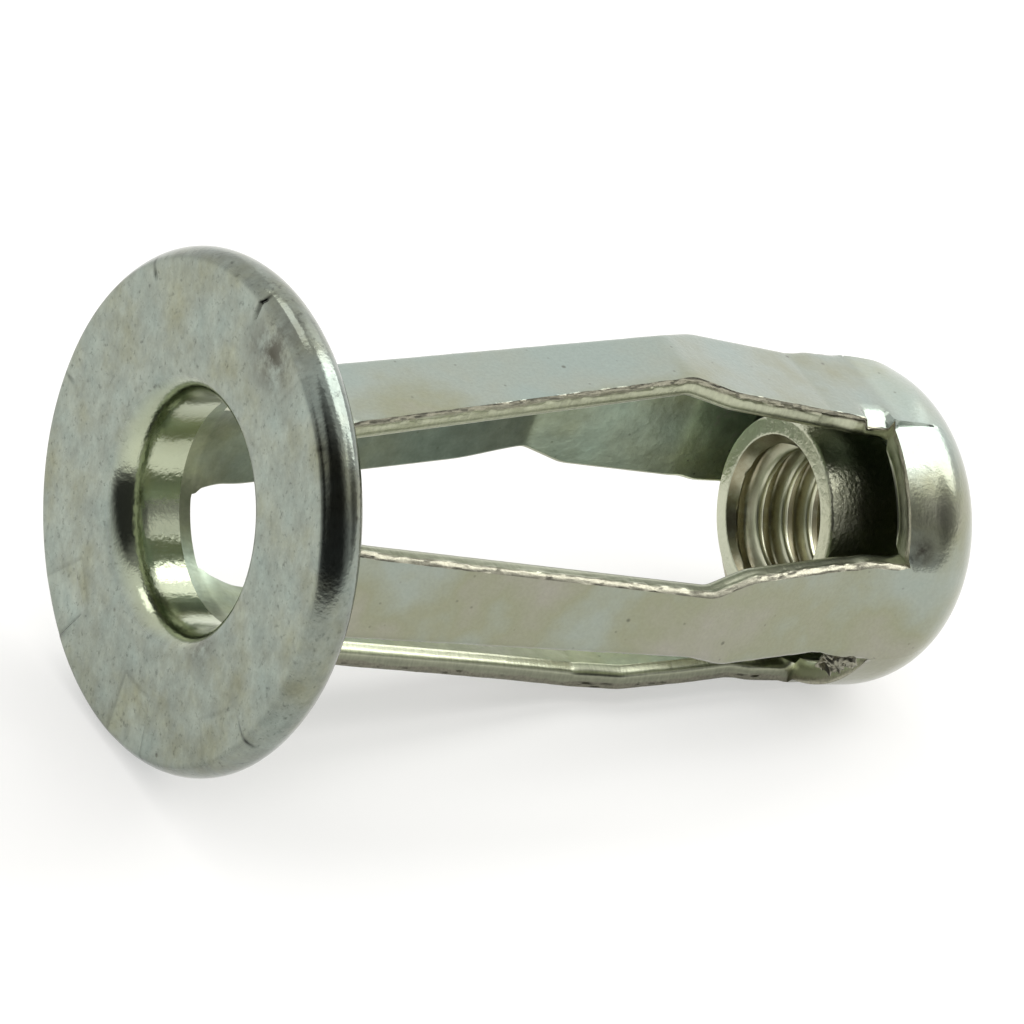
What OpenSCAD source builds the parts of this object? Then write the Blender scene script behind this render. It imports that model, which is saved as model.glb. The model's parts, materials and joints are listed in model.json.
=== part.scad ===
// Jack nut: a fastener drawn, slotted and bent from one piece of sheet steel.
// It lies as it comes to rest, on the rim of its flange and on one flat of its head.

/* [Sheet] */
// Thickness of the sheet in the collar, the legs and the head
sheet_t = 0.62; // [0.5:0.02:0.72]
// Distance from the front of the flange to the end of the head
length = 22.75; // [21.5:0.25:26]

/* [Flange] */
// Diameter of the flange
flange_d = 13.5; // [12.5:0.25:16]
// Thickness of the flange, two layers of sheet hemmed flat
flange_t = 1.28; // [1:0.04:1.4]
// How far the rolled rim stands out past the flat faces
rim_bulge = 0.3; // [0.15:0.05:0.5]
// Diameter of the hole that the screw passes through
throat_d = 5.9; // [5.2:0.05:6.1]
// Radius of the round from the front face into the throat
throat_round = 0.7; // [0.3:0.05:0.85]
// Radius of the fillet between the back of the flange and the collar
seat_fillet = 0.3; // [0.15:0.05:0.4]
// Distance from the front of the flange to the start of the slots
collar_h = 2.25; // [1.95:0.05:2.7]

/* [Legs] */
// Width of a leg where it leaves the collar
leg_root_w = 2.6; // [2.3:0.05:2.8]
// Width of a leg at its bend, where it is narrowest and folds
leg_w = 1.95; // [1.6:0.05:2.3]
// Width of a leg past its bend
leg_wide_w = 2.7; // [2.5:0.05:2.8]
// Width of a leg where it meets the head
leg_head_w = 2.95; // [2.8:0.05:3.1]
// Place of the bend as a share of the slots' length, from the collar
bend_share = 0.635; // [0.57:0.005:0.67]
// Distance from the axis to the outside of a leg at its bend
bend_reach = 5; // [4.7:0.02:5.1]
// Radius of the bends, at the middle of the sheet
bend_radius = 0.9; // [0.6:0.1:2.4]
// Length over which a leg widens past its bend
widen_len = 1.2; // [0.8:0.05:1.6]
// Length of the broad root of a leg at the head
shoulder_len = 1.25; // [0.9:0.05:1.6]
// Length over which a leg widens into that root
shoulder_ramp = 0.45; // [0.2:0.05:0.7]
// Length of a leg, ahead of the slot end, that runs parallel to the axis
neck_len = 2; // [1.6:0.1:2.2]
// Length over which the flat of a leg fades into the round collar
root_blend = 1.3; // [0.8:0.1:2]

/* [Head] */
// Diameter of the round head
head_d = 8.72; // [8.6:0.04:9]
// Distance from the axis to the flat that a leg carries on over the head
flat_reach = 4.25; // [4.15:0.05:4.3]
// Length of the closed head, from the slot end to its far end
head_len = 3.05; // [2.7:0.05:3.4]
// Radius of the dome
dome_r = 2.25; // [1.9:0.05:2.3]
// How far the dome over the flats stands outside their corners
flat_relief = 0.05; // [0.02:0.01:0.08]

/* [Nut] */
// Diameter of the hole for the thread, across its crests
thread_d = 3.45; // [3.1:0.05:3.6]
// Outside diameter of the threaded tube
tube_d = 5.24; // [4.9:0.04:5.4]
// Length of the threaded tube, from its rim to the end of the head
tube_len = 4.4; // [4:0.05:5]
// Width of the flat rim of the tube
tube_land = 0.5; // [0.34:0.02:0.54]
// Radius of the round on the outer edge of the rim
tube_edge = 0.1; // [0.06:0.02:0.16]
// Radius of the rolled mouth of the hole at the end of the head
mouth_round = 0.4; // [0.2:0.05:0.42]

/* [Hidden] */
$fn = 96;
leg_count = 4;
// Straight steps in each bend of a leg
bend_steps = 8;
steel = "#a9aca0";
// How far cuts run past the surfaces that they cut, and joined pieces into each other
overrun = 0.3;

// Flange and collar
flange_r = flange_d / 2;
face_r = flange_r - rim_bulge;
rim_r = (pow(flange_t / 2, 2) + pow(rim_bulge, 2)) / (2 * rim_bulge);
throat_r = throat_d / 2;
barrel_r = throat_r + sheet_t;

// Head, flats and nut
head_r = head_d / 2;
slot_end = length - head_len;
bend_z = collar_h + bend_share * (slot_end - collar_h);
flat_dome_r = norm([flat_reach, leg_head_w / 2]) + flat_relief;
flat_ring_r = flat_dome_r - dome_r;
dome_z = length - dome_r;
tube_r = tube_d / 2;
thread_r = thread_d / 2;
tube_z = length - tube_len;
chamfer_r = tube_r - tube_land;

// Middle of the sheet along a leg: distance from the axis and from the front of the flange
mid = sheet_t / 2;
leg_root = [barrel_r - mid, collar_h - overrun];
leg_start = [barrel_r - mid, collar_h];
leg_bend = [bend_reach - mid, bend_z];
leg_neck = [flat_reach - mid, slot_end - neck_len];
leg_end = [flat_reach - mid, slot_end + overrun];

// Lying: the line under the rim and the end of a flat, against the axis
flat_end_z = dome_z + sqrt(pow(dome_r, 2) - pow(flat_reach - flat_ring_r, 2));
rim_drop = flange_r - rim_r - flat_reach;
rim_run = flat_end_z - flange_t / 2;
lie_tilt = atan(rim_drop / rim_run) + asin(rim_r / norm([rim_drop, rim_run]));
lie_height = flat_end_z * sin(lie_tilt) + flat_reach * cos(lie_tilt);
lie_front = -face_r * sin(lie_tilt);
lie_back = dome_z * cos(lie_tilt) + flat_ring_r * sin(lie_tilt) + dome_r;

function heading(p, q) = atan2(q.y - p.y, q.x - p.x);
function along(angle, run) = run * [cos(angle), sin(angle)];

// Length that a bend takes from each of the two straights that it joins
function bend_run(p, q, r) = bend_radius * tan(abs(heading(q, r) - heading(p, q)) / 2);

// The corner between the two straight edges of a round, which a cut takes away or a fillet adds
module corner(r) {
    difference() {
        square(r);
        translate([r, r]) circle(r);
    }
}

// Points of one face of the sheet round the bend at q, on the side that offset gives
function bend_points(p, q, r, offset) =
    let (
        turn = heading(q, r) - heading(p, q),
        side = sign(turn),
        entry = q - along(heading(p, q), bend_run(p, q, r)),
        centre = entry + along(heading(p, q) + side * 90, bend_radius),
        first = heading(p, q) - side * 90
    )
    [for (i = [0:bend_steps]) centre + along(first + turn * i / bend_steps, bend_radius - side * offset)];

// Points of one face of a leg's sheet, from the collar to the head
function leg_face(offset) = concat(
    [leg_root - [offset, 0]],
    bend_points(leg_root, leg_start, leg_bend, offset),
    bend_points(leg_start, leg_bend, leg_neck, offset),
    bend_points(leg_bend, leg_neck, leg_end, offset),
    [leg_end - [offset, 0]]
);

function reversed(list) = [for (i = [len(list) - 1:-1:0]) list[i]];

// A leg's sheet seen on its edge
module leg_section() {
    polygon(concat(leg_face(-mid), reversed(leg_face(mid))));
}

// The edge of a leg as the slots leave it: half its width, and the distance from the flange
leg_edge = [
    [leg_root_w / 2, 0],
    [leg_root_w / 2, collar_h],
    [leg_w / 2, bend_z],
    [leg_wide_w / 2, bend_z + widen_len],
    [leg_wide_w / 2, slot_end - shoulder_len - shoulder_ramp],
    [leg_head_w / 2, slot_end - shoulder_len],
    [leg_head_w / 2, length]
];

// A leg's outline, seen on its face
module leg_outline() {
    polygon(concat(leg_edge, reversed([for (p = leg_edge) [-p.x, p.y]])));
}

// The cone that takes the corners off a leg where it comes out of the round collar
module root_cone() {
    corner_r = norm([bend_reach, leg_head_w / 2]) + overrun;
    spread = norm([barrel_r, leg_root_w / 2]) - barrel_r;
    climb = (corner_r - barrel_r) * root_blend / spread;
    translate([0, 0, leg_root.y])
        cylinder(h = climb, r1 = barrel_r, r2 = corner_r);
    translate([0, 0, leg_root.y + climb])
        cylinder(h = length, r = corner_r);
}

module leg() {
    intersection() {
        rotate([90, 0, 0])
            linear_extrude(height = 2 * leg_head_w, center = true)
                leg_section();
        rotate([90, 0, 90])
            linear_extrude(height = flange_d)
                leg_outline();
        root_cone();
    }
}

module flange_section() {
    difference() {
        union() {
            translate([throat_r, 0]) square([face_r - throat_r, flange_t]);
            translate([throat_r, 0]) square([sheet_t, collar_h]);
            translate([barrel_r, flange_t]) corner(seat_fillet);
            intersection() {
                translate([flange_r - rim_r, flange_t / 2]) circle(rim_r);
                translate([face_r, 0]) square([rim_bulge, flange_t]);
            }
        }
        translate([throat_r, 0]) corner(throat_round);
    }
}

module flange() {
    rotate_extrude()
        flange_section();
}

// A round cap from base to the domed end, set in by a thickness of sheet or not at all
module cap(radius, inset, base) {
    ring_r = radius - dome_r;
    rotate_extrude()
        intersection() {
            union() {
                translate([0, base]) square([radius - inset, dome_z - base]);
                translate([0, base]) square([ring_r, length - inset - base]);
                translate([ring_r, dome_z]) circle(dome_r - inset);
            }
            translate([0, base]) square([radius, length - base]);
        }
}

// A bar along z between two opposite flats
module flat_bar(reach, width, base) {
    translate([0, 0, base])
        linear_extrude(height = length - base)
            square([2 * reach, width], center = true);
}

// The round head with the four flats that stand proud of it and fade out in the dome
module head_form() {
    cap(head_r, 0, slot_end);
    intersection() {
        cap(flat_dome_r, 0, slot_end);
        union() {
            flat_bar(flat_reach, leg_head_w, slot_end);
            rotate(90) flat_bar(flat_reach, leg_head_w, slot_end);
        }
    }
}

// The space inside the head, flat where the legs come in
module head_space() {
    inner_reach = flat_reach - sheet_t;
    intersection() {
        cap(head_r, sheet_t, slot_end - overrun);
        flat_bar(inner_reach, 2 * inner_reach, slot_end - overrun);
    }
}

// The tube drawn inwards from the end of the head, with its rim and its two mouths
module tube() {
    rotate_extrude()
        difference() {
            translate([thread_r, tube_z]) square([tube_r - thread_r, tube_len]);
            translate([tube_r, tube_z]) mirror([1, 0]) corner(tube_edge);
            translate([0, tube_z])
                polygon([[0, 0], [chamfer_r, 0], [thread_r, chamfer_r - thread_r], [0, chamfer_r - thread_r]]);
            translate([thread_r, length]) mirror([0, 1]) corner(mouth_round);
        }
}

module head() {
    difference() {
        head_form();
        head_space();
        cylinder(h = length + overrun, r = tube_r - tube_land / 2);
    }
    tube();
}

module upright_nut() {
    flange();
    for (i = [0:leg_count - 1])
        rotate(i * 360 / leg_count) leg();
    head();
}

module jack_nut() {
    color(steel)
        translate([-(lie_front + lie_back) / 2, 0, lie_height])
            rotate([0, 90 + lie_tilt, 0])
                upright_nut();
}

jack_nut();
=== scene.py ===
"""Dresses the jack nut: its flange, its bent legs and domed head, its threaded tube, and their stage."""

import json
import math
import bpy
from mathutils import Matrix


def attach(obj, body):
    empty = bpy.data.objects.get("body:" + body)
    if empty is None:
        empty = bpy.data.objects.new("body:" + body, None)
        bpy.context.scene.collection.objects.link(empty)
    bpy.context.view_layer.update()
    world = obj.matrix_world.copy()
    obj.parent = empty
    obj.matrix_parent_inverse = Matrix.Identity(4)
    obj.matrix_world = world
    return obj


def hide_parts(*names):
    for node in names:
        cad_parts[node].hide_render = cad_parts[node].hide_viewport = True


bl_info = {
    "name": "Jack nut",
    "version": (1, 0, 0),
    "blender": (4, 5, 0),
    "location": "3D View > Sidebar > Jack nut",
    "description": "Builds a zinc-plated jack nut in full detail over its packed frame",
    "category": "Add Mesh",
}

import bmesh
import bpy
import numpy as np
from bpy.props import FloatProperty, FloatVectorProperty, PointerProperty
from mathutils import Matrix, Vector, noise

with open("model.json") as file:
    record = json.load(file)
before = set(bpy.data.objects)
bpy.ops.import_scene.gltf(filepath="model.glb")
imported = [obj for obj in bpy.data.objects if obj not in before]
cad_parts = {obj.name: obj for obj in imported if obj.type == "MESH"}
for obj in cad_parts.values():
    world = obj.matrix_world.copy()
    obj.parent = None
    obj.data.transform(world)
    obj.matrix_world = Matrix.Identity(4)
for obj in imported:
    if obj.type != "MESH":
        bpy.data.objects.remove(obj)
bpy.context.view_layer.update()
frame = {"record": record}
MOUNTS = {mount["name"]: mount for mount in frame["record"]["mounts"]}

MM = 0.001
LEGS = 4
SHEET, EDGE, THREAD = 0, 1, 2
SEED = 7


def linear(code):
    """Linear colour of an sRGB hex code."""
    parts = [int(code[i : i + 2], 16) / 255 for i in (1, 3, 5)]
    return tuple(c / 12.92 if c <= 0.04045 else ((c + 0.055) / 1.055) ** 2.4 for c in parts)


def length_prop(name, description, size):
    """A length, given in millimetres."""
    return FloatProperty(name=name, description=description, default=size * MM, unit="LENGTH", precision=5)


def angle_prop(name, description, degrees):
    """An angle of the stage, given in degrees."""
    return FloatProperty(name=name, description=description, default=math.radians(degrees), subtype="ANGLE")


def colour_prop(name, description, code):
    """A colour of the nut's finish, given as an sRGB hex code."""
    return FloatVectorProperty(
        name=name, description=description, default=linear(code), subtype="COLOR", min=0, max=1
    )


class NutSizes(bpy.types.PropertyGroup):
    """Sizes of the sheet that the nut is drawn and bent from."""

    sheet_t: length_prop("Sheet", "Thickness of the collar, the legs and the head", 0.62)
    length: length_prop("Length", "From the front of the flange to the end of the head", 22.75)
    flange_d: length_prop("Flange", "Diameter of the flange", 13.5)
    flange_t: length_prop("Flange thickness", "Two layers of sheet hemmed flat", 1.28)
    rim_bulge: length_prop("Rim bulge", "How far the rolled rim stands out", 0.3)
    throat_round: length_prop("Throat round", "Radius from the front face into the throat", 0.7)
    seat_fillet: length_prop("Seat fillet", "Radius between the flange's back and the collar", 0.3)
    collar_h: length_prop("Collar", "From the front of the flange to the start of the slots", 2.25)
    leg_root_w: length_prop("Leg root", "Width of a leg at the collar", 2.6)
    leg_w: length_prop("Leg at its bend", "Width of a leg where it folds", 1.95)
    leg_wide_w: length_prop("Leg past its bend", "Width of a leg past its bend", 2.7)
    leg_head_w: length_prop("Leg at the head", "Width of a leg where it meets the head", 2.95)
    bend_share: FloatProperty(
        name="Bend", description="Place of the bend as a share of the slot", default=0.635, subtype="FACTOR"
    )
    bend_reach: length_prop("Bend reach", "From the axis to the outside of a leg at its bend", 5.0)
    bend_radius: length_prop("Bend radius", "Radius of the bends at the middle of the sheet", 0.9)
    widen_len: length_prop("Widening", "Length over which a leg widens past its bend", 1.2)
    shoulder_len: length_prop("Shoulder", "Length of the broad root at the head", 1.25)
    shoulder_ramp: length_prop("Shoulder ramp", "Length over which a leg widens into that root", 0.45)
    neck_len: length_prop("Neck", "Length of a leg that runs parallel ahead of the slot end", 2.0)
    root_blend: length_prop("Root blend", "Length over which a leg's flat fades into the collar", 1.3)
    head_d: length_prop("Head", "Diameter of the round head", 8.72)
    flat_reach: length_prop("Head flat", "From the axis to a flat of the head", 4.25)
    head_len: length_prop("Head length", "From the slot end to the end of the head", 3.05)
    dome_r: length_prop("Dome", "Radius of the dome", 2.25)
    flat_relief: length_prop(
        "Flat relief", "How far the dome over the flats stands outside their corners", 0.05
    )
    tube_d: length_prop("Tube", "Outside diameter of the threaded tube", 5.24)
    tube_len: length_prop("Tube length", "From the tube's rim to the end of the head", 4.4)
    tube_land: length_prop("Tube rim", "Width of the flat rim of the tube", 0.5)
    tube_edge: length_prop("Tube edge", "Radius on the outer edge of the rim", 0.1)
    mouth_round: length_prop("Mouth", "Radius of the rolled mouth at the end of the head", 0.4)
    thread_major_d: length_prop("Thread major", "Diameter of the No. 8-32 thread at its roots", 4.166)
    thread_pitch: length_prop("Thread pitch", "Rise of the thread in one turn", 0.794)


class NutFinish(bpy.types.PropertyGroup):
    """Colours of the zinc plate and the surfaces under it."""

    zinc: colour_prop("Zinc", "Grey-green body of the plate", "#969d92")
    zinc_warm: colour_prop("Warm tint", "Yellowish film of the passivate", "#8f917b")
    zinc_cool: colour_prop("Cool tint", "Bluish film of the passivate", "#939e96")
    zinc_rose: colour_prop("Rose tint", "Pinkish film of the passivate", "#99978c")
    inside: colour_prop("Inside", "Greenish cast of the plate on the inside of the sheet", "#f8fff4")
    soil: colour_prop("Soil", "Dark specks and smudges on the plate", "#57564c")
    fracture: colour_prop("Fracture", "Torn part of the punched edges", "#918f7f")
    burnish: colour_prop("Burnish", "Sheared part of the punched edges", "#9da08b")
    drawn: colour_prop("Drawn tint", "Yellowish green of the drawn throat", "#b7bea2")
    root: colour_prop("Thread root", "Oily brown in the thread's roots", "#958e74")
    crest: colour_prop("Thread crest", "Yellowish crests of the thread, and the tube", "#c5c6ad")


def millimetres(group):
    """The sizes of a property group in millimetres, by name."""
    sizes = {}
    for name in group.bl_rna.properties.keys():
        if name in ("rna_type", "name"):
            continue
        value = getattr(group, name)
        sizes[name] = value if name.endswith("_share") else value / MM
    return sizes


class Nut:
    """Sizes in millimetres of the upright nut: axis along z, flange front at z 0, one leg along x."""

    def __init__(self):
        self.__dict__.update(millimetres(bpy.context.scene.jack_nut_sizes))
        self.throat_r = MOUNTS["screw_hole"]["dims"]["r_mm"]
        self.thread_r = MOUNTS["nut_thread"]["dims"]["r_mm"]
        self.major_r = self.thread_major_d / 2
        self.flange_r = self.flange_d / 2
        self.face_r = self.flange_r - self.rim_bulge
        self.barrel_r = self.throat_r + self.sheet_t
        self.head_r = self.head_d / 2
        self.slot_end = self.length - self.head_len
        self.bend_z = self.collar_h + self.bend_share * (self.slot_end - self.collar_h)
        self.dome_z = self.length - self.dome_r
        self.ring_r = self.head_r - self.dome_r
        self.flat_ring_r = math.hypot(self.flat_reach, self.leg_head_w / 2) + self.flat_relief - self.dome_r
        self.tube_r = self.tube_d / 2
        self.tube_z = self.length - self.tube_len
        self.seam_z = (self.flange_t + self.seat_fillet + self.collar_h) / 2

    def to_row(self):
        """Matrix from the upright nut in millimetres to where it lies, in metres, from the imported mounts."""
        out = -Vector(MOUNTS["nut_thread"]["axis"]).normalized()
        on_axis = Vector(MOUNTS["nut_thread"]["pos_m"])
        front = Vector(MOUNTS["front_face"]["pos_m"])
        origin = on_axis + out * (front - on_axis).dot(out)
        side = Vector((0, 1, 0))
        down = side.cross(out)
        turn = Matrix((down, side, out)).transposed().to_4x4()
        return Matrix.Translation(origin) @ turn @ Matrix.Scale(MM, 4)


def ease(low, high, x):
    """Smooth step from 0 at low to 1 at high."""
    t = np.clip((np.asarray(x, float) - low) / (high - low), 0, 1)
    return t * t * (3 - 2 * t)


def soft_min(a, b, k):
    """Smaller of two lengths, rounded over about k where they meet."""
    h = np.clip(0.5 + 0.5 * (b - a) / k, 0, 1)
    return b + (a - b) * h - k * h * (1 - h)


def soft_max(a, b, k):
    """Larger of two lengths, rounded over about k where they meet."""
    return -soft_min(-np.asarray(a), -np.asarray(b), k)


def wander(rng, places, step):
    """Random waver from -1 to 1 along a line of places, with a knot at every step."""
    places = np.asarray(places, float)
    knots = np.arange(places.min() - step, places.max() + 2 * step, step)
    return np.interp(places, knots, rng.uniform(-1, 1, len(knots)))


def rounded(points, sigma, spacing):
    """An open profile with its corners eased over sigma, as points a spacing apart."""
    points = np.asarray(points, float)
    fine = 0.004
    run = np.r_[0, np.cumsum(np.linalg.norm(np.diff(points, axis=0), axis=1))]
    dense = np.arange(0, run[-1], fine)
    line = np.stack([np.interp(dense, run, points[:, i]) for i in (0, 1)], 1)
    reach = int(4 * sigma / fine)
    kernel = np.exp(-0.5 * (np.arange(-reach, reach + 1) * fine / sigma) ** 2)
    kernel /= kernel.sum()
    ends = [np.repeat(line[:1], reach, 0) * 2 - line[reach:0:-1], line]
    ends.append(np.repeat(line[-1:], reach, 0) * 2 - line[-2 : -reach - 2 : -1])
    line = np.stack([np.convolve(np.concatenate(ends)[:, i], kernel, "valid") for i in (0, 1)], 1)
    count = max(2, int(round(run[-1] / spacing)))
    pick = np.linspace(0, len(line) - 1, count + 1).round().astype(int)
    return line[pick]


def arc(centre, radius, start, end, steps):
    """Points of an arc in a profile, from one angle to another in degrees."""
    t = np.radians(np.linspace(start, end, steps + 1))
    return np.stack([centre[0] + radius * np.cos(t), centre[1] + radius * np.sin(t)], 1)


def grid_quads(grid):
    """Quads between the rows and columns of a grid of point numbers."""
    return np.stack([grid[:-1, :-1], grid[:-1, 1:], grid[1:, 1:], grid[1:, :-1]], -1).reshape(-1, 4)


class Net:
    """Points and quads of one mesh, in the upright nut's millimetres."""

    def __init__(self):
        self.points, self.faces, self.kinds, self.depths, self.tones = [], [], [], [], []
        self.count = 0

    def add(self, points, depth=0.0, tone=0.0):
        """Adds an array of points and returns their numbers in the same shape.

        The depth tells cut edges and drawn surfaces from the sheet's faces, and the painted shading lightens
        or darkens them as painted light and shade.
        """
        points = np.asarray(points, float)
        shape = points.shape[:-1]
        flat = points.reshape(-1, 3)
        numbers = np.arange(self.count, self.count + len(flat)).reshape(shape)
        self.points.append(flat)
        self.depths.append(np.broadcast_to(depth, shape).reshape(-1))
        self.tones.append(np.broadcast_to(tone, shape).reshape(-1))
        self.count += len(flat)
        return numbers

    def points_of(self, numbers):
        """Places of points that were added."""
        return np.concatenate(self.points)[numbers]

    def quads(self, grid, kind, wrap_rows=False, wrap_columns=False):
        """Adds the quads of a grid of point numbers."""
        grid = np.asarray(grid)
        if wrap_rows:
            grid = np.concatenate([grid, grid[:1]])
        if wrap_columns:
            grid = np.concatenate([grid, grid[:, :1]], 1)
        quads = grid_quads(grid)
        self.faces.append(quads)
        self.kinds.append(np.full(len(quads), kind))

    def piece(self, name, materials, sharp):
        """The mesh as a closed piece on its CAD body, smooth up to an angle in degrees."""
        points = np.concatenate(self.points)
        place = np.array(Nut().to_row())
        mesh = bpy.data.meshes.new(name)
        rows = points @ place[:3, :3].T + place[:3, 3]
        mesh.from_pydata(rows.tolist(), [], np.concatenate(self.faces).tolist())
        mesh.polygons.foreach_set("material_index", np.concatenate(self.kinds).astype(np.int32))
        spot = mesh.attributes.new("nut_place", "FLOAT_VECTOR", "POINT")
        spot.data.foreach_set("vector", points.astype(np.float32).ravel())
        for label, values in (("cut_depth", self.depths), ("tone", self.tones)):
            layer = mesh.attributes.new(label, "FLOAT", "POINT")
            layer.data.foreach_set("value", np.concatenate(values).astype(np.float32))
        shape = bmesh.new()
        shape.from_mesh(mesh)
        bmesh.ops.recalc_face_normals(shape, faces=shape.faces)
        shape.to_mesh(mesh)
        shape.free()
        for material in materials:
            mesh.materials.append(material)
        mesh.shade_smooth()
        mesh.set_sharp_from_angle(angle=math.radians(sharp))
        piece = bpy.data.objects.new(name, mesh)
        bpy.context.collection.objects.link(piece)
        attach(piece, "root")
        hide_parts("jack_nut")
        return piece


def turned(profile, angles):
    """Grid of points that a profile of radius and height sweeps round the axis, a row for each point."""
    r, z = np.asarray(profile)[:, 0], np.asarray(profile)[:, 1]
    t = np.asarray(angles)
    return np.stack([np.outer(r, np.cos(t)), np.outer(r, np.sin(t)), np.repeat(z[:, None], len(t), 1)], -1)


# Flange: pleats where the hem was folded. Each has the angle of its crack, where the crack starts and
# ends, how deep it is, and how far round its flap lies and how far it is sunk; angles run from the
# leg that lies down.
PLEATS = [
    (180.0, 5.78, 6.5, 0.06, 24, 0.02),
    (25.4, 5.1, 6.3, 0.05, 15, 0.03),
    (341.0, 5.15, 6.42, 0.09, 15, 0.035),
    (297.2, 5.75, 6.4, 0.06, 17, 0.02),
    (134.0, 5.85, 6.2, 0.04, 8, 0.01),
    (221.0, 6.1, 6.3, 0.03, 6, 0.008),
    (88.5, 5.8, 6.2, 0.03, 9, 0.012),
]
# Half the width of a crack, and how far it leans aside for each millimetre outwards
CRACK_HALF, CRACK_LEAN = 0.035, 0.024
# How much a flap is painted lighter, as painted light, and its edge painted darker, as painted shade, for each
# millimetre that it is sunk, and how much a crack is painted darker, as painted shade, for each millimetre of
# its depth, up to a limit
FLAP_PAINTED_LIGHT, FLAP_EDGE_PAINTED_SHADE, CRACK_PAINTED_SHADE, CRACK_PAINTED_SHADE_LIMIT = 3.2, 6.5, 11, 0.75
# How many times deeper the round of the throat runs along the axis than it is wide
THROAT_DRAW = 1.6
# How far the corners of the section are eased, how far apart its rows lie, and its columns in degrees
SECTION_EASE, ROW_STEP, COLUMN_STEP = 0.055, 0.052, 0.6
# How high the waves of the plate are, and how high and where its lip stands over the rim
WAVE, LIP, LIP_R = 0.03, 0.07, 6.5
# How much darker the rolled rim is painted than the face, as painted shade
RIM_PAINTED_SHADE = 0.26


def flange_angles():
    """Angles of the flange's columns, closer together at the pleats."""
    plain = np.arange(0, 360, COLUMN_STEP)
    near = np.array([-0.9, -0.6, -0.42, -0.28, -0.14, 0, 0.14, 0.28, 0.42, 0.6, 0.9])
    extra = np.concatenate([pleat[0] + near for pleat in PLEATS]) % 360
    keep = [a for a in plain if np.abs((extra - a + 180) % 360 - 180).min() > COLUMN_STEP / 2]
    return np.radians(np.sort(np.r_[keep, extra]))


def pleat_painted_shading(r, angle):
    """Painted light and shade of the pleats: flaps painted lighter than the face, with painted shade in dark
    lines at their edges and cracks.
    """
    tone = np.zeros_like(r)
    for turn, inner, outer, deep, flap, low in PLEATS:
        off = (angle - turn + 180) % 360 - 180
        start = inner - 0.25 - 0.012 * off
        inside = ease(-0.3, 0.3, off) * (1 - ease(flap - 0.8, flap, off))
        inside *= ease(start - 0.04, start + 0.04, r)
        edge = np.exp(-(((r - start) / 0.05) ** 2)) * (off > 0) * (off < flap)
        edge = np.maximum(edge, np.exp(-((np.radians(off - flap) * r / 0.05) ** 2)) * (r > start))
        width = 0.025 + 0.04 * np.clip((r - inner) / (outer - inner), 0, 1)
        crack = ease(inner + 0.1, inner + 0.4, r) * np.exp(-((np.radians(off) * r / width) ** 2))
        tone += FLAP_PAINTED_LIGHT * low * inside - FLAP_EDGE_PAINTED_SHADE * low * edge
        tone -= min(CRACK_PAINTED_SHADE * deep, CRACK_PAINTED_SHADE_LIMIT) * crack
    return tone


def pleat_sink(r, angle):
    """How far the pleats sink the front of the flange at a radius and an angle in degrees."""
    sink = np.zeros_like(r)
    for turn, inner, outer, deep, flap, low in PLEATS:
        off = (angle - turn + 180) % 360 - 180
        side = np.radians(off) * r
        lean = side - CRACK_LEAN * (r - inner)
        run = ease(inner, inner + 0.25, r) * (1 - ease(outer - 0.05, outer + 0.12, r))
        sink += deep * run * np.exp(-((lean / CRACK_HALF) ** 2))
        # one side of the crack is pushed up, and the flap lies on the other
        lip = np.exp(-(((lean + 2.6 * CRACK_HALF) / (1.6 * CRACK_HALF)) ** 2))
        sink -= 0.35 * deep * run * lip
        inside = ease(0, 0.06, side) * (1 - ease(flap - 4, flap, off))
        inside = inside * ease(inner - 0.03, inner + 0.03, r) * (1 - ease(outer - 0.1, outer + 0.35, r))
        sink += low * inside
    return sink


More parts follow.
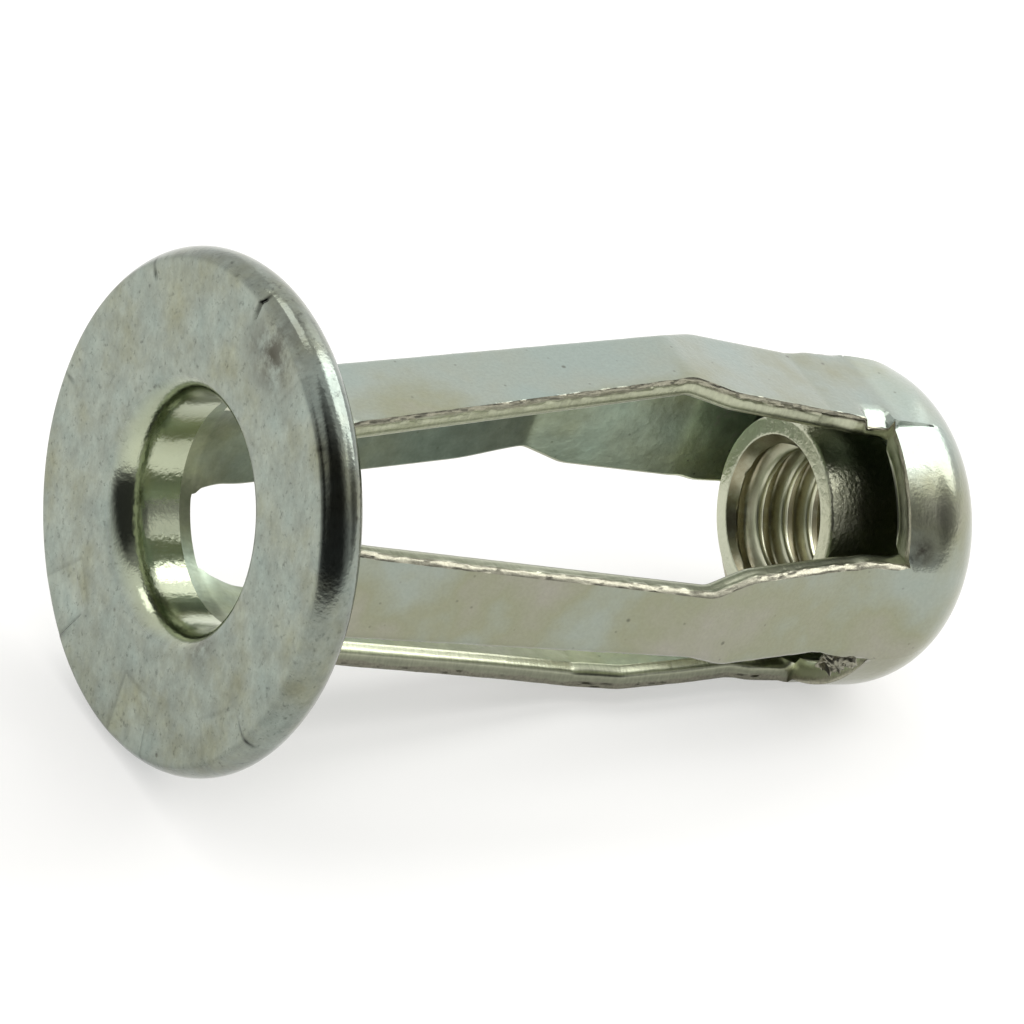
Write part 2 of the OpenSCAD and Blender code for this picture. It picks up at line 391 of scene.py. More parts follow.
class JACKNUT_OT_flange(bpy.types.Operator):
    """Makes the hemmed flange with its rolled rim, its pleats and the throat"""

    bl_idname = "jacknut.flange"
    bl_label = "Flange"

    def execute(self, context):
        n = Nut()
        mid = n.flange_t / 2
        rim_r = (mid**2 + n.rim_bulge**2) / (2 * n.rim_bulge)
        swing = math.degrees(math.asin(mid / rim_r))
        throat = arc((n.throat_r + n.throat_round, n.throat_round), n.throat_round, 180, 270, 24)
        throat[:, 1] *= THROAT_DRAW
        rim = arc((n.flange_r - rim_r, mid), rim_r, -swing, swing, 30)
        seat = arc((n.barrel_r + n.seat_fillet, n.flange_t + n.seat_fillet), n.seat_fillet, 270, 180, 8)
        line = np.concatenate([[[n.throat_r, n.seam_z]], throat, rim, seat, [[n.barrel_r, n.seam_z]]])
        profile = rounded(line, SECTION_EASE, ROW_STEP)
        # the plain back takes every third row
        row = np.arange(len(profile))
        profile = profile[(profile[:, 1] < 0.75 * n.flange_t) | (row % 3 == 0) | (row == row[-1])]
        angles = flange_angles()
        grid = turned(profile, angles)
        r = np.hypot(grid[..., 0], grid[..., 1])
        degrees = np.degrees(np.arctan2(grid[..., 1], grid[..., 0])) % 360
        front = (1 - ease(0.05, 0.45, grid[..., 2])) * ease(n.throat_r + 0.5, n.throat_r + 1.0, r)
        grid[..., 2] += front * pleat_sink(r, degrees)
        # the hem leaves the plate a little wavy, most of all at the rim
        rng = np.random.default_rng(SEED)
        for order in (2, 3, 5, 8, 13):
            phase, size = rng.uniform(0, 2 * math.pi), rng.uniform(0.5, 1) * WAVE / order
            wave = np.cos(order * np.radians(degrees) + phase) * ease(n.throat_r + 0.7, n.flange_r, r)
            grid[..., 2] += size * wave
            grid[..., :2] *= (1 + 0.25 * size / n.flange_r * wave)[..., None]
        # the front layer ends in a lip over the rolled rim, between two of the pleats
        lip = ease(176, 180, degrees) * (1 - ease(212, 266, degrees)) * (1 - ease(0.1, 0.5, grid[..., 2]))
        grid[..., 2] += LIP * lip * ease(LIP_R - 0.07, LIP_R, r) * (1 - ease(LIP_R, n.flange_r, r))
        net = Net()
        drawn = 1 - ease(n.throat_r + 0.1, n.throat_r + 0.55, r)
        # painted light and shade on the flange: lighter flaps, darker flap edges and cracks, and a darker
        # rolled rim
        tone = front * pleat_painted_shading(r, degrees) - RIM_PAINTED_SHADE * ease(n.face_r - 0.1, n.face_r + 0.1, r)
        numbers = net.add(grid, drawn, tone)
        net.quads(numbers, SHEET, wrap_rows=True, wrap_columns=True)
        net.piece("flange", [zinc_flange(), zinc_edge(), zinc_thread()], sharp=50)
        return {"FINISHED"}


# Punched edges: how deep in the sheet the rows of points on a cut edge lie, from its outer face to its
# inner face, and how far each stands out past the cut. The outer part is torn, the inner part is
# sheared smooth, and the inner corner is rolled over.
CUT_DEPTHS = np.array([0.04, 0.09, 0.15, 0.21, 0.28, 0.35, 0.45, 0.6, 0.75, 0.87, 0.95])
CUT_STAND = np.array([0.014, 0.024, 0.026, 0.018, 0.008, 0.0, 0.0, 0.0, -0.006, -0.03, -0.065])
TORN = np.array([1, 1, 1, 1, 0.8, 0.4, 0.08, 0.04, 0.04, 0.04, 0.0])
# How far the inner corner is rolled over, and from which share of the depth it may be rolled further
ROLLOVER, ROLL_FROM = 0.11, 0.6
# How far from an edge the columns of points beside it lie, how wide its outer corner is rounded, how
# far that is drawn down, and by which power
EDGE_STEPS = np.array([0.0, 0.035, 0.08, 0.15, 0.26])
EDGE_ROUND, EDGE_DROP, EDGE_POWER = 0.15, 0.07, 2.2
# How far in from an edge the face follows a slanted corner and a rolled one
SLANT_REACH, ROLL_REACH = 0.35, 0.6
# How far the line of a cut wavers, how high and how wide its burr is, and how rough its torn part is
# on a leg and across a slot
NICK, BURR, BURR_WIDTH, TEAR, SLOT_TEAR = 0.009, 0.012, 0.05, 0.016, 0.012
# The two edges of a leg: their sign across it, and their column of points
SIDES = {"left": (-1, 0), "right": (1, -1)}
# Legs are numbered from the one that lies down: 1 is the far one, 2 the upper one and 3 the near one.
# How far each stands off its true place: out from the axis at its bend, and sideways between the
# collar and the bend; the flat of the head above the axis is pressed in as well.
SWAY = [(-0.2, 0.0), (0.0, -0.17), (0.0, 0.0), (0.0, 0.0)]
HEAD_PRESS = 0.24
# Edges whose torn part slants: how far the outer corner is set in, and how deep the slant goes
SLANTED = {(3, "left"): (0.09, 0.26)}
# Edges whose inner corner is rolled over further than the others, and by how much
ROLLED = {(0, "left"): 0.22}
# Edges whose outer corner is sharper than the others, by how far it is drawn down
SHARPER = {(3, "left"): 0.0, (2, "right"): 0.015}
# Corners that are pressed slantwise at the shoulder: how wide, and how steep; and how far ahead of the
# slot end that starts, is full and starts to fade
PRESSED = {(2, "right"): (0.52, 0.5)}
PRESS_START, PRESS_FULL, PRESS_FADE = 0.95, 0.8, 0.1
# Edges painted lighter or darker than the others, as painted light and shade: in their torn part and at their
# rolled corner
EDGE_PAINTED_SHADING = {(0, "left"): (-0.3, 1.0), (2, "right"): (0.35, 0.35), (3, "left"): (0.2, 0.2)}
# How much lighter the cut faces across the ends of the slots are painted, as painted light
SLOT_PAINTED_LIGHT = 0.7
# Inner faces of legs painted lighter or darker, as painted light and shade: ahead of the bend, past it and
# beside the head
INNER_PAINTED_SHADING = {0: (0.3, 0.75, 0.75), 1: (-0.2, 0.35, 1.8)}
# Flats of the head painted lighter, as painted light
FLAT_PAINTED_LIGHT = {2: 0.25}
# How far past the slot end the flats start to fade and are gone, and are gone inside the head
FLAT_FADE, FLAT_END, HOLLOW_END = 0.1, 1.9, 1.1
# Columns of points across the middle of a leg's face, and across a slot
FACE_COLUMNS, SLOT_COLUMNS = 11, 18


def leg_path(n):
    """Middle line of a leg from the collar to the slot end: radius, height and outward normal."""
    mid = n.sheet_t / 2
    knots = [
        (n.barrel_r - mid, n.collar_h - 1),
        (n.barrel_r - mid, n.collar_h),
        (n.bend_reach - mid, n.bend_z),
        (n.flat_reach - mid, n.slot_end - n.neck_len),
        (n.flat_reach - mid, n.slot_end + 1),
    ]
    knots = [np.array(k) for k in knots]
    line = [knots[0]]
    for a, b, c in zip(knots, knots[1:], knots[2:]):
        before, after = (b - a) / np.linalg.norm(b - a), (c - b) / np.linalg.norm(c - b)
        turn = math.acos(np.clip(before @ after, -1, 1))
        run = n.bend_radius * math.tan(turn / 2)
        for t in np.linspace(0, 1, 13):
            line.append((b - before * run) * (1 - t) ** 2 + 2 * b * t * (1 - t) + (b + after * run) * t**2)
    line.append(knots[-1])
    line = np.array(line)
    step = 0.1
    z = np.linspace(n.collar_h, n.slot_end, int((n.slot_end - n.collar_h) / step) + 1)
    x, low, high = (np.interp(z + shift, line[:, 1], line[:, 0]) for shift in (0, -step / 2, step / 2))
    normal = np.stack([np.full_like(z, step), low - high], 1)
    return x, z, normal / np.linalg.norm(normal, axis=1)[:, None]


def half_width(n, z):
    """Half of a leg's width at a height, with the corners of its outline eased."""
    # how fine the outline is taken, how far its corners are eased, and how many steps that looks round
    step, sigma, reach = 0.01, 0.12, 40
    fine = np.arange(-1, n.length + 1, step)
    places = [0, n.collar_h, n.bend_z, n.bend_z + n.widen_len]
    places += [n.slot_end - n.shoulder_len - n.shoulder_ramp, n.slot_end - n.shoulder_len, n.length]
    widths = [n.leg_root_w, n.leg_root_w, n.leg_w, n.leg_wide_w, n.leg_wide_w, n.leg_head_w, n.leg_head_w]
    line = np.interp(fine, places, np.array(widths) / 2)
    kernel = np.exp(-0.5 * (np.arange(-reach, reach + 1) * step / sigma) ** 2)
    line = np.convolve(np.pad(line, reach, "edge"), kernel / kernel.sum(), "valid")
    return np.interp(z, fine, line)


def across(half):
    """Places across a leg's face from one edge to the other, closer together at the edges."""
    half = np.asarray(half)[..., None]
    left = -half + EDGE_STEPS
    middle = np.linspace(-1, 1, FACE_COLUMNS + 2)[1:-1] * (half - EDGE_STEPS[-1])
    return np.concatenate([left, middle, -left[..., ::-1]], -1)


def head_outside(n, turn, z):
    """Radius of the head's outside at an angle from its nearest leg and a height."""
    rise = np.clip(z - n.dome_z, 0, n.dome_r)
    drop = np.sqrt(np.maximum(n.dome_r**2 - rise**2, 0))
    edge = math.atan2(n.leg_head_w / 2, n.flat_reach) + 1e-4
    start = np.where(np.abs(turn) < edge, n.flat_reach / np.cos(turn), n.head_r)
    fade = ease(n.slot_end + FLAT_FADE, n.slot_end + FLAT_END, z)
    return n.ring_r + drop + (start - n.head_r) * (1 - fade)


def head_inside(n, z):
    """Radius of the head's round inside at a height."""
    inner = n.dome_r - n.sheet_t
    rise = np.clip(z - n.dome_z, 0, inner)
    return n.ring_r + np.sqrt(np.maximum(inner**2 - rise**2, 0))


def press_head(n, points):
    """Points of the nut with the flat over the axis pressed in towards the leg that lies down."""
    x, y, z = np.moveaxis(np.array(points, float), -1, 0)
    share = (1 - x / np.maximum(np.hypot(x, y), 0.1)) / 2
    x = x + HEAD_PRESS * share * ease(n.slot_end - 2.2, n.slot_end + 0.8, z)
    return np.stack([x, y, z], -1)


def spin(radial, sideways, z, leg):
    """Places of the upright nut from a leg's own radial and sideways distances."""
    t = math.radians(90 * leg)
    x = radial * math.cos(t) - sideways * math.sin(t)
    y = radial * math.sin(t) + sideways * math.cos(t)
    return np.stack(np.broadcast_arrays(x, y, z), -1)


class LegLine:
    """A leg's middle line in rows from the collar to the slot end, with both faces of its sheet."""

    def __init__(self, n):
        x, self.z, self.normal = leg_path(n)
        half = self.normal * n.sheet_t / 2
        self.outer_x, self.outer_z = x + half[:, 0], self.z + half[:, 1]
        self.inner_x, self.inner_z = x - half[:, 0], self.z - half[:, 1]
        self.outer_half, self.inner_half = half_width(n, self.outer_z), half_width(n, self.inner_z)
        # how much each row takes of the wear of the edges, of the sway outwards and of the sway sideways
        start, end = n.collar_h, n.slot_end
        self.hold = ease(start, start + 0.4, self.z) * (1 - ease(end - 0.4, end, self.z))
        self.bulge = ease(start, n.bend_z, self.z) * (1 - ease(n.bend_z, end - n.neck_len, self.z))
        self.drift = ease(start, start + 2, self.z) * (1 - ease(n.bend_z - 2.5, n.bend_z, self.z))


def on_side(y, side):
    """Which places across a leg belong to its left or its right edge."""
    return (y < 0) == (side == "left")


def root_bow(n, y, z, radius):
    """How far a leg's face bends back from its flat where it comes out of the round collar."""
    flat = ease(n.collar_h, n.collar_h + n.root_blend, z)[:, None]
    return (1 - flat) * (radius - np.sqrt(radius**2 - np.minimum(np.abs(y), radius) ** 2))


def outer_face(n, line, leg, rng):
    """A leg's outer face in its own radial, sideways and upward distances."""
    y = across(line.outer_half)
    hold, columns = line.hold[:, None], np.arange(y.shape[1])
    # nicks in the line of the cut, and burr along the two outer corners
    nick = np.stack([wander(rng, line.z, 0.35) + 0.6 * wander(rng, line.z, 0.12) for _ in SIDES], 1)
    burr = [np.abs(wander(rng, line.z, 0.5)) + 0.5 * np.abs(wander(rng, line.z, 0.15)) for _ in SIDES]
    burr = np.stack(burr, 1)
    nick = NICK * nick * hold
    y = y - nick[:, :1] * (columns < 2) + nick[:, 1:] * (columns >= len(columns) - 2)
    near = line.outer_half[:, None] - np.abs(y)
    lift = BURR * np.where(columns < len(columns) / 2, burr[:, :1], burr[:, 1:])
    lift = lift * np.exp(-((near / BURR_WIDTH) ** 2)) * hold
    press = ease(n.slot_end - PRESS_START, n.slot_end - PRESS_FULL, line.z)
    press *= 1 - ease(n.slot_end - PRESS_FADE, n.slot_end, line.z)
    for side in SIDES:
        there = on_side(y, side)
        drop = SHARPER.get((leg, side), EDGE_DROP)
        lift = lift - there * drop * np.maximum(1 - near / EDGE_ROUND, 0) ** EDGE_POWER * hold
        wide, steep = PRESSED.get((leg, side), (0.0, 0.0))
        lift = lift - there * steep * np.maximum(wide - near, 0) * press[:, None]
        inset, _ = SLANTED.get((leg, side), (0.0, 1.0))
        y = y - there * np.sign(y) * inset * np.maximum(1 - near / SLANT_REACH, 0) * hold
    out, aside = SWAY[leg]
    x = line.outer_x[:, None] + out * line.bulge[:, None] - root_bow(n, y, line.outer_z, n.barrel_r)
    z = line.outer_z[:, None] + lift * line.normal[:, 1:]
    return np.stack([x + lift * line.normal[:, :1], y + aside * line.drift[:, None], z], -1)


def inner_face(n, line, leg):
    """A leg's inner face in the same distances, set in where its corners are rolled over."""
    y = across(line.inner_half - ROLLOVER * ease(0, 1, line.hold))
    near = line.inner_half[:, None] - np.abs(y)
    for side in SIDES:
        extra = ROLLED.get((leg, side), 0.0) * np.maximum(1 - near / ROLL_REACH, 0) * line.hold[:, None]
        y = y - on_side(y, side) * np.sign(y) * extra
    out, aside = SWAY[leg]
    x = line.inner_x[:, None] + out * line.bulge[:, None] - root_bow(n, y, line.inner_z, n.throat_r)
    z = np.repeat(line.inner_z[:, None], y.shape[1], 1)
    return np.stack([x, y + aside * line.drift[:, None], z], -1)


def cut_edge(line, leg, side, outer, inner, rng):
    """One punched edge of a leg in the same distances, from its outer corner to its inner one."""
    sign, column = SIDES[side]
    aside = sign * line.inner_half + SWAY[leg][1] * line.drift
    corner = np.stack([inner[:, column, 0], aside, line.inner_z], 1)
    inset, deep = SLANTED.get((leg, side), (0.0, 1.0))
    cut = np.zeros((len(line.z), len(CUT_DEPTHS), 3))
    for i, depth in enumerate(CUT_DEPTHS):
        rough = wander(rng, line.z, 0.16) + 0.8 * wander(rng, line.z, 0.1)
        stand = CUT_STAND[i] + TEAR * TORN[i] * rough
        stand += inset * ((1 - depth) - max(1 - depth / deep, 0))
        stand -= ROLLED.get((leg, side), 0.0) * max((depth - ROLL_FROM) / (1 - ROLL_FROM), 0) ** 2
        cut[:, i] = outer[:, column] * (1 - depth) + corner * depth
        cut[:, i, 1] += sign * stand * line.hold
    return cut


def leg_faces(n, line, leg, rng):
    """The outer and the inner face of a leg and its two edges, in their places on the nut."""
    faces = {"outer": outer_face(n, line, leg, rng), "inner": inner_face(n, line, leg)}
    for side in SIDES:
        faces[side] = cut_edge(line, leg, side, faces["outer"], faces["inner"], rng)
    return {name: press_head(n, spin(*np.moveaxis(face, -1, 0), leg)) for name, face in faces.items()}


def slot_turns(edge):
    """Angles of the columns across a slot, from the edge of the leg ahead of it to the leg after it."""
    return np.linspace(edge, math.pi / 2 - edge, SLOT_COLUMNS + 2)[1:-1]


def ring(radius, half, z):
    """A row of points round the collar: across each leg, then across the slot after it."""
    turns = slot_turns(math.asin(half / radius))
    y = across(np.array(half))
    parts = []
    for leg in range(LEGS):
        parts.append(spin(np.sqrt(radius**2 - y**2), y, z, leg))
        parts.append(spin(radius * np.cos(turns), radius * np.sin(turns), z, leg))
    return np.concatenate(parts)


def head_heights(n, radius, last, count):
    """Heights of the head's rows: up its wall, then over a dome of a radius to an angle in degrees."""
    swing = np.radians(np.linspace(0, last, count))[1:]
    return np.r_[np.linspace(n.slot_end, n.dome_z, 10), n.dome_z + radius * np.sin(swing)]


def leg_turns(points, leg):
    """Angles of points round the axis, from the middle of a leg."""
    turns = np.arctan2(points[:, 1], points[:, 0]) - math.radians(90 * leg)
    return (turns + math.pi) % (2 * math.pi) - math.pi


def head_shell(n, legs, z):
    """The head's outside in rows at heights, from the slot ends on."""
    slot = slot_turns(math.atan2(n.leg_head_w / 2, n.flat_reach))
    parts = []
    for leg, faces in enumerate(legs):
        turns = np.r_[leg_turns(faces["outer"][-1], leg), slot]
        local = np.where(turns > math.pi / 4, turns - math.pi / 2, turns)
        radii = np.array([head_outside(n, local, height) for height in z])
        parts.append(spin(radii * np.cos(turns), radii * np.sin(turns), z[:, None], leg))
    return press_head(n, np.concatenate(parts, 1))


def head_hollow(n, legs, z):
    """The head's inside in rows at heights, from the slot ends on."""
    wall = head_inside(n, n.slot_end)
    fade = ease(n.slot_end, n.slot_end + HOLLOW_END, z)[:, None]
    parts = []
    for leg, faces in enumerate(legs):
        first = faces["inner"][-1]
        turns = leg_turns(first, leg)
        turns = np.r_[turns, slot_turns(turns[-1])]
        start = np.r_[np.hypot(first[:, 0], first[:, 1]), np.full(SLOT_COLUMNS, wall)]
        radii = head_inside(n, z)[:, None] + (start - wall) * (1 - fade)
        parts.append(spin(radii * np.cos(turns), radii * np.sin(turns), z[:, None], leg))
    return press_head(n, np.concatenate(parts, 1))


class JACKNUT_OT_cage(bpy.types.Operator):
    """Makes the collar, the four bent legs and the domed head with its flats, as one sheet"""

    bl_idname = "jacknut.cage"
    bl_label = "Legs and head"

    def execute(self, context):
        n = Nut()
        rng = np.random.default_rng(SEED + 1)
        net = Net()
        line = LegLine(n)
        legs = [leg_faces(n, line, leg, rng) for leg in range(LEGS)]
        columns = legs[0]["outer"].shape[1]
        width = columns + SLOT_COLUMNS
        span = [np.arange(leg * width, leg * width + columns) for leg in range(LEGS)]
        gap = [np.arange(own[-1], own[0] + width + 1) % (LEGS * width) for own in span]
        collar = self.add_collar(n, net, legs, span)
        head = self.add_head(n, net, legs, span)
        cuts = []
        for leg in range(LEGS):
            ends = collar[:, span[leg]], head[:, span[leg]]
            cuts.append(self.add_leg(n, net, line, leg, legs[leg], *ends))
        for leg in range(LEGS):
            before, after = cuts[leg]["right"], cuts[(leg + 1) % LEGS]["left"]
            self.add_slot_end(net, rng, collar[:, gap[leg]], before[0], after[0], 1)
            self.add_slot_end(net, rng, head[:, gap[leg]], before[-1], after[-1], -1)
        net.piece("legs_and_head", [zinc_sheet(), zinc_edge(), zinc_thread()], sharp=38)
        return {"FINISHED"}

    def add_collar(self, n, net, legs, span):
        """Adds the collar and returns the numbers of its outer and inner points at the slots."""
        heights = np.linspace(n.seam_z, n.collar_h, 7)
        half = half_width(n, n.collar_h)
        outside = np.array([ring(n.barrel_r, half, z) for z in heights])
        inside = np.array([ring(n.throat_r, half, z) for z in heights])
        for leg in range(LEGS):
            outside[-1, span[leg]], inside[-1, span[leg]] = legs[leg]["outer"][0], legs[leg]["inner"][0]
        numbers = np.array([net.add(outside), net.add(inside, 1.0)])
        net.quads(numbers[0], SHEET, wrap_columns=True)
        net.quads(numbers[1], SHEET, wrap_columns=True)
        net.quads(numbers[:, 0], SHEET, wrap_columns=True)
        return numbers[:, -1]

    def add_head(self, n, net, legs, span):
        """Adds the head and returns the numbers of its outer and inner points at the slots."""
        heights = head_heights(n, n.dome_r, last=90, count=30)
        outside = head_shell(n, legs, heights)
        inside = head_hollow(n, legs, head_heights(n, n.dome_r - n.sheet_t, last=74, count=24))
        for leg in range(LEGS):
            outside[0, span[leg]], inside[0, span[leg]] = legs[leg]["outer"][-1], legs[leg]["inner"][-1]
        # the flats of the head listed above are painted lighter, as painted light
        tones = np.zeros(outside.shape[:2])
        for leg, tone in FLAT_PAINTED_LIGHT.items():
            upward = ease(n.slot_end, n.slot_end + 0.4, heights)
            upward *= 1 - ease(n.dome_z + 0.3, n.dome_z + 1.3, heights)
            tones[:, span[leg]] = tone * upward[:, None] * (1 - np.linspace(-1, 1, len(span[leg])) ** 4)
        top, under = net.add(outside, 0.0, tones), net.add(inside, 1.0)
        net.quads(top, SHEET, wrap_columns=True)
        net.quads(under, SHEET, wrap_columns=True)
        net.quads(np.array([top[-1], under[-1]]), SHEET, wrap_columns=True)
        return np.array([top[0], under[0]])

    def add_leg(self, n, net, line, leg, faces, first, last):
        """Adds a leg between its first and last rows, which it shares with the collar and the head.

        Returns the numbers of the points on its two cut edges.
        """
        outer = np.concatenate([first[:1], net.add(faces["outer"][1:-1]), last[:1]])
        # painted light and shade on the inner face, by where it lies along the leg
        ahead, past, beside = INNER_PAINTED_SHADING.get(leg, (0.0, 0.0, 0.0))
        tone = ahead + (past - ahead) * ease(n.bend_z - 0.3, n.bend_z + 0.3, line.z)
        tone += (beside - past) * ease(n.slot_end - 2.3, n.slot_end - 1.7, line.z)
        within = net.add(faces["inner"][1:-1], 1.0, tone[1:-1, None])
        inner = np.concatenate([first[1:], within, last[1:]])
        cuts = {}
        for side in SIDES:
            # painted light and shade on this cut edge, from the table of edges above
            torn, rolled = EDGE_PAINTED_SHADING.get((leg, side), (0.0, 0.0))
            tone = torn + (rolled - torn) * ease(0.55, 0.8, CUT_DEPTHS)
            cuts[side] = net.add(faces[side], CUT_DEPTHS[None, :], tone[None, :])
        net.quads(outer, SHEET)
        net.quads(inner, SHEET)
        for side, (_, column) in SIDES.items():
            net.quads(np.concatenate([outer[:, [column]], cuts[side], inner[:, [column]]], 1), EDGE)
        return cuts

    def add_slot_end(self, net, rng, rows, before, after, sign):
        """Adds the rough cut face across one end of a slot, between its outer and its inner points."""
        first, last = rows
        face = [first]
        for i, depth in enumerate(CUT_DEPTHS):
            row = net.points_of(first[1:-1]) * (1 - depth) + net.points_of(last[1:-1]) * depth
            place = np.arange(len(row))
            fade = np.minimum(1, np.minimum(place, place[::-1]) / 3)
            rough = rng.uniform(-1, 1, len(row))
            row[:, 2] += sign * (0.6 * CUT_STAND[i] + SLOT_TEAR * TORN[i] * rough) * fade
            # the cut face across the slot end is painted lighter, as painted light
            face.append(np.r_[before[i], net.add(row, depth, SLOT_PAINTED_LIGHT), after[i]])
        face.append(last)
        net.quads(np.array(face), EDGE)


# How deep the chamfer in the rim of the tube runs, and how much lighter the rim is painted than the tube, as
# painted light
MOUTH_DEPTH, RIM_PAINTED_LIGHT = 0.6, 0.6
# Shares of the pitch that the roots and the crests of the thread take
ROOT_SHARE, CREST_SHARE = 0.24, 0.12
# How far apart the tube's columns are, in degrees, and the rows of its thread
TUBE_COLUMN, THREAD_ROW = 2.25, 0.042


class JACKNUT_OT_tube(bpy.types.Operator):
    """Makes the tube drawn inwards from the head, with its right-handed thread"""

    bl_idname = "jacknut.tube"
    bl_label = "Threaded tube"

    def execute(self, context):
        n = Nut()
        angles = np.radians(np.arange(0, 360, TUBE_COLUMN))
        chamfer_r = n.tube_r - n.tube_land
        mouth = arc((n.thread_r + n.mouth_round, n.length - n.mouth_round), n.mouth_round, 90, 180, 10)
        bore_z = np.arange(n.length - n.mouth_round, n.tube_z, -THREAD_ROW)[1:]
        sink = np.clip(1 - (bore_z - n.tube_z) / MOUTH_DEPTH, 0, 1)
        bore = np.stack([n.thread_r + (chamfer_r - n.thread_r) * sink, bore_z], 1)
        # the rim stands up a little beside the chamfer
        land = [(0.0, 0.0), (0.04, -0.012), (0.16, 0.0)]
        rim = np.array([[chamfer_r + out, n.tube_z + up] for out, up in land])
        corner = arc((n.tube_r - n.tube_edge, n.tube_z + n.tube_edge), n.tube_edge, 270, 360, 6)
        wall = np.array([[n.tube_r, z] for z in np.linspace(n.tube_z + 0.3, n.length - 0.5, 16)])
        profile = np.concatenate([mouth, bore, rim, corner, wall])
        grid = turned(profile, angles)
        # No. 8-32 thread, right-handed
        z = grid[..., 2]
        phase = (z / n.thread_pitch - angles[None, :] / (2 * math.pi)) % 1
        rise = np.clip((np.abs(phase - 0.5) * 2 - ROOT_SHARE) / (1 - ROOT_SHARE - CREST_SHARE), 0, 1)
        groove = n.thread_r + (n.major_r - n.thread_r) * (1 - rise * rise * (3 - 2 * rise))
        run_out = 1 - ease(n.length - 1.0, n.length - n.mouth_round, z)
        groove = n.thread_r + (groove - n.thread_r) * run_out
        inside = np.zeros(grid.shape[:2], bool)
        inside[len(mouth) - 3 : len(mouth) + len(bore)] = True
        r = np.repeat(profile[:, :1], len(angles), 1)
        cut = np.where(inside, soft_max(r, groove, 0.03), r)
        grid[..., 0], grid[..., 1] = cut * np.cos(angles), cut * np.sin(angles)
        grid[..., 0] += 0.5 * HEAD_PRESS * ease(n.slot_end, n.length, z)
        depth = np.where(inside, (cut - n.thread_r) / (n.major_r - n.thread_r), 0)
        net = Net()
        # the rim of the tube is painted lighter, as painted light
        numbers = net.add(grid, depth, RIM_PAINTED_LIGHT * (1 - ease(n.tube_z + 0.05, n.tube_z + 0.12, z)))
        first, last = len(mouth) - 1, len(mouth) + len(bore)
        net.quads(numbers[: first + 1], SHEET, wrap_columns=True)
        net.quads(numbers[first : last + 1], THREAD, wrap_columns=True)
        net.quads(np.concatenate([numbers[last:], numbers[:1]]), SHEET, wrap_columns=True)
        net.piece("threaded_tube", [zinc_tube(), zinc_edge(), zinc_thread()], sharp=45)
        return {"FINISHED"}


# Sliver of punched metal: its angle and half its spread in degrees, and its length
SLIVER_TURN, SLIVER_SPREAD, SLIVER_LENGTH = 294.5, 6, 1.0


class JACKNUT_OT_sliver(bpy.types.Operator):
    """Makes the torn sliver that the punch left hanging at one slot end"""

    bl_idname = "jacknut.sliver"
    bl_label = "Punch sliver"

    def execute(self, context):
        n = Nut()
        # a crumpled tongue on the lower edge of the leg that is nearest the camera
        along, wide = np.meshgrid(np.linspace(0, 1, 30), np.linspace(-1, 1, 22), indexing="ij")
        turn = np.radians(SLIVER_TURN + SLIVER_SPREAD * wide * (1 - 0.25 * along))
        z = n.slot_end - 0.25 - SLIVER_LENGTH * along + 0.08 * np.sin(5 * wide)
        r = n.head_r - 0.1 + 0.16 * np.sin(3.4 * along) + 0.1 * np.cos(4 * wide + 2 * along)
        spots = np.stack([3.6 * along, 2.6 * wide, np.full_like(wide, 0.4)], -1).reshape(-1, 3)
        waver = np.array([noise.fractal(Vector(spot), 0.6, 2.1, 4) for spot in spots]).reshape(wide.shape)
        r = r + 0.17 * waver * ease(0, 0.2, along)
        half = 0.07 * (1.1 - along) * np.sqrt(np.maximum(1 - wide**2, 0.0)) + 0.012
        net = Net()
        shells = []
        for sign in (1, -1):
            radius = r + sign * half
            shells.append(net.add(np.stack([radius * np.cos(turn), radius * np.sin(turn), z], -1), 0.15))
            net.quads(shells[-1], EDGE)
        top, low = shells
        for row in (0, -1):
            net.quads(np.array([top[row], low[row]]), EDGE)
        for column in (0, -1):
            net.quads(np.array([top[:, column], low[:, column]]), EDGE)
        net.piece("punch_sliver", [zinc_sheet(), zinc_edge(), zinc_thread()], sharp=60)
        return {"FINISHED"}


def add_node(tree, kind, inputs=None, **settings):
    """Adds a node with its settings, and links or sets its inputs."""
    node = tree.nodes.new(kind)
    for name, value in settings.items():
        setattr(node, name, value)
    for name, value in (inputs or {}).items():
        if isinstance(value, bpy.types.NodeSocket):
            tree.links.new(value, node.inputs[name])
        else:
            node.inputs[name].default_value = value
    return node


def new_material(name):
    """An empty node material and its tree."""
    material = bpy.data.materials.new(name)
    material.use_nodes = True
    material.node_tree.nodes.clear()
    return material, material.node_tree


def colour(name):
    """A colour of the finish with alpha."""
    return (*getattr(bpy.context.scene.jack_nut_finish, name), 1.0)


def per_mm(size):
    """Scale of a pattern whose features are about a size in millimetres."""
    return 1 / size


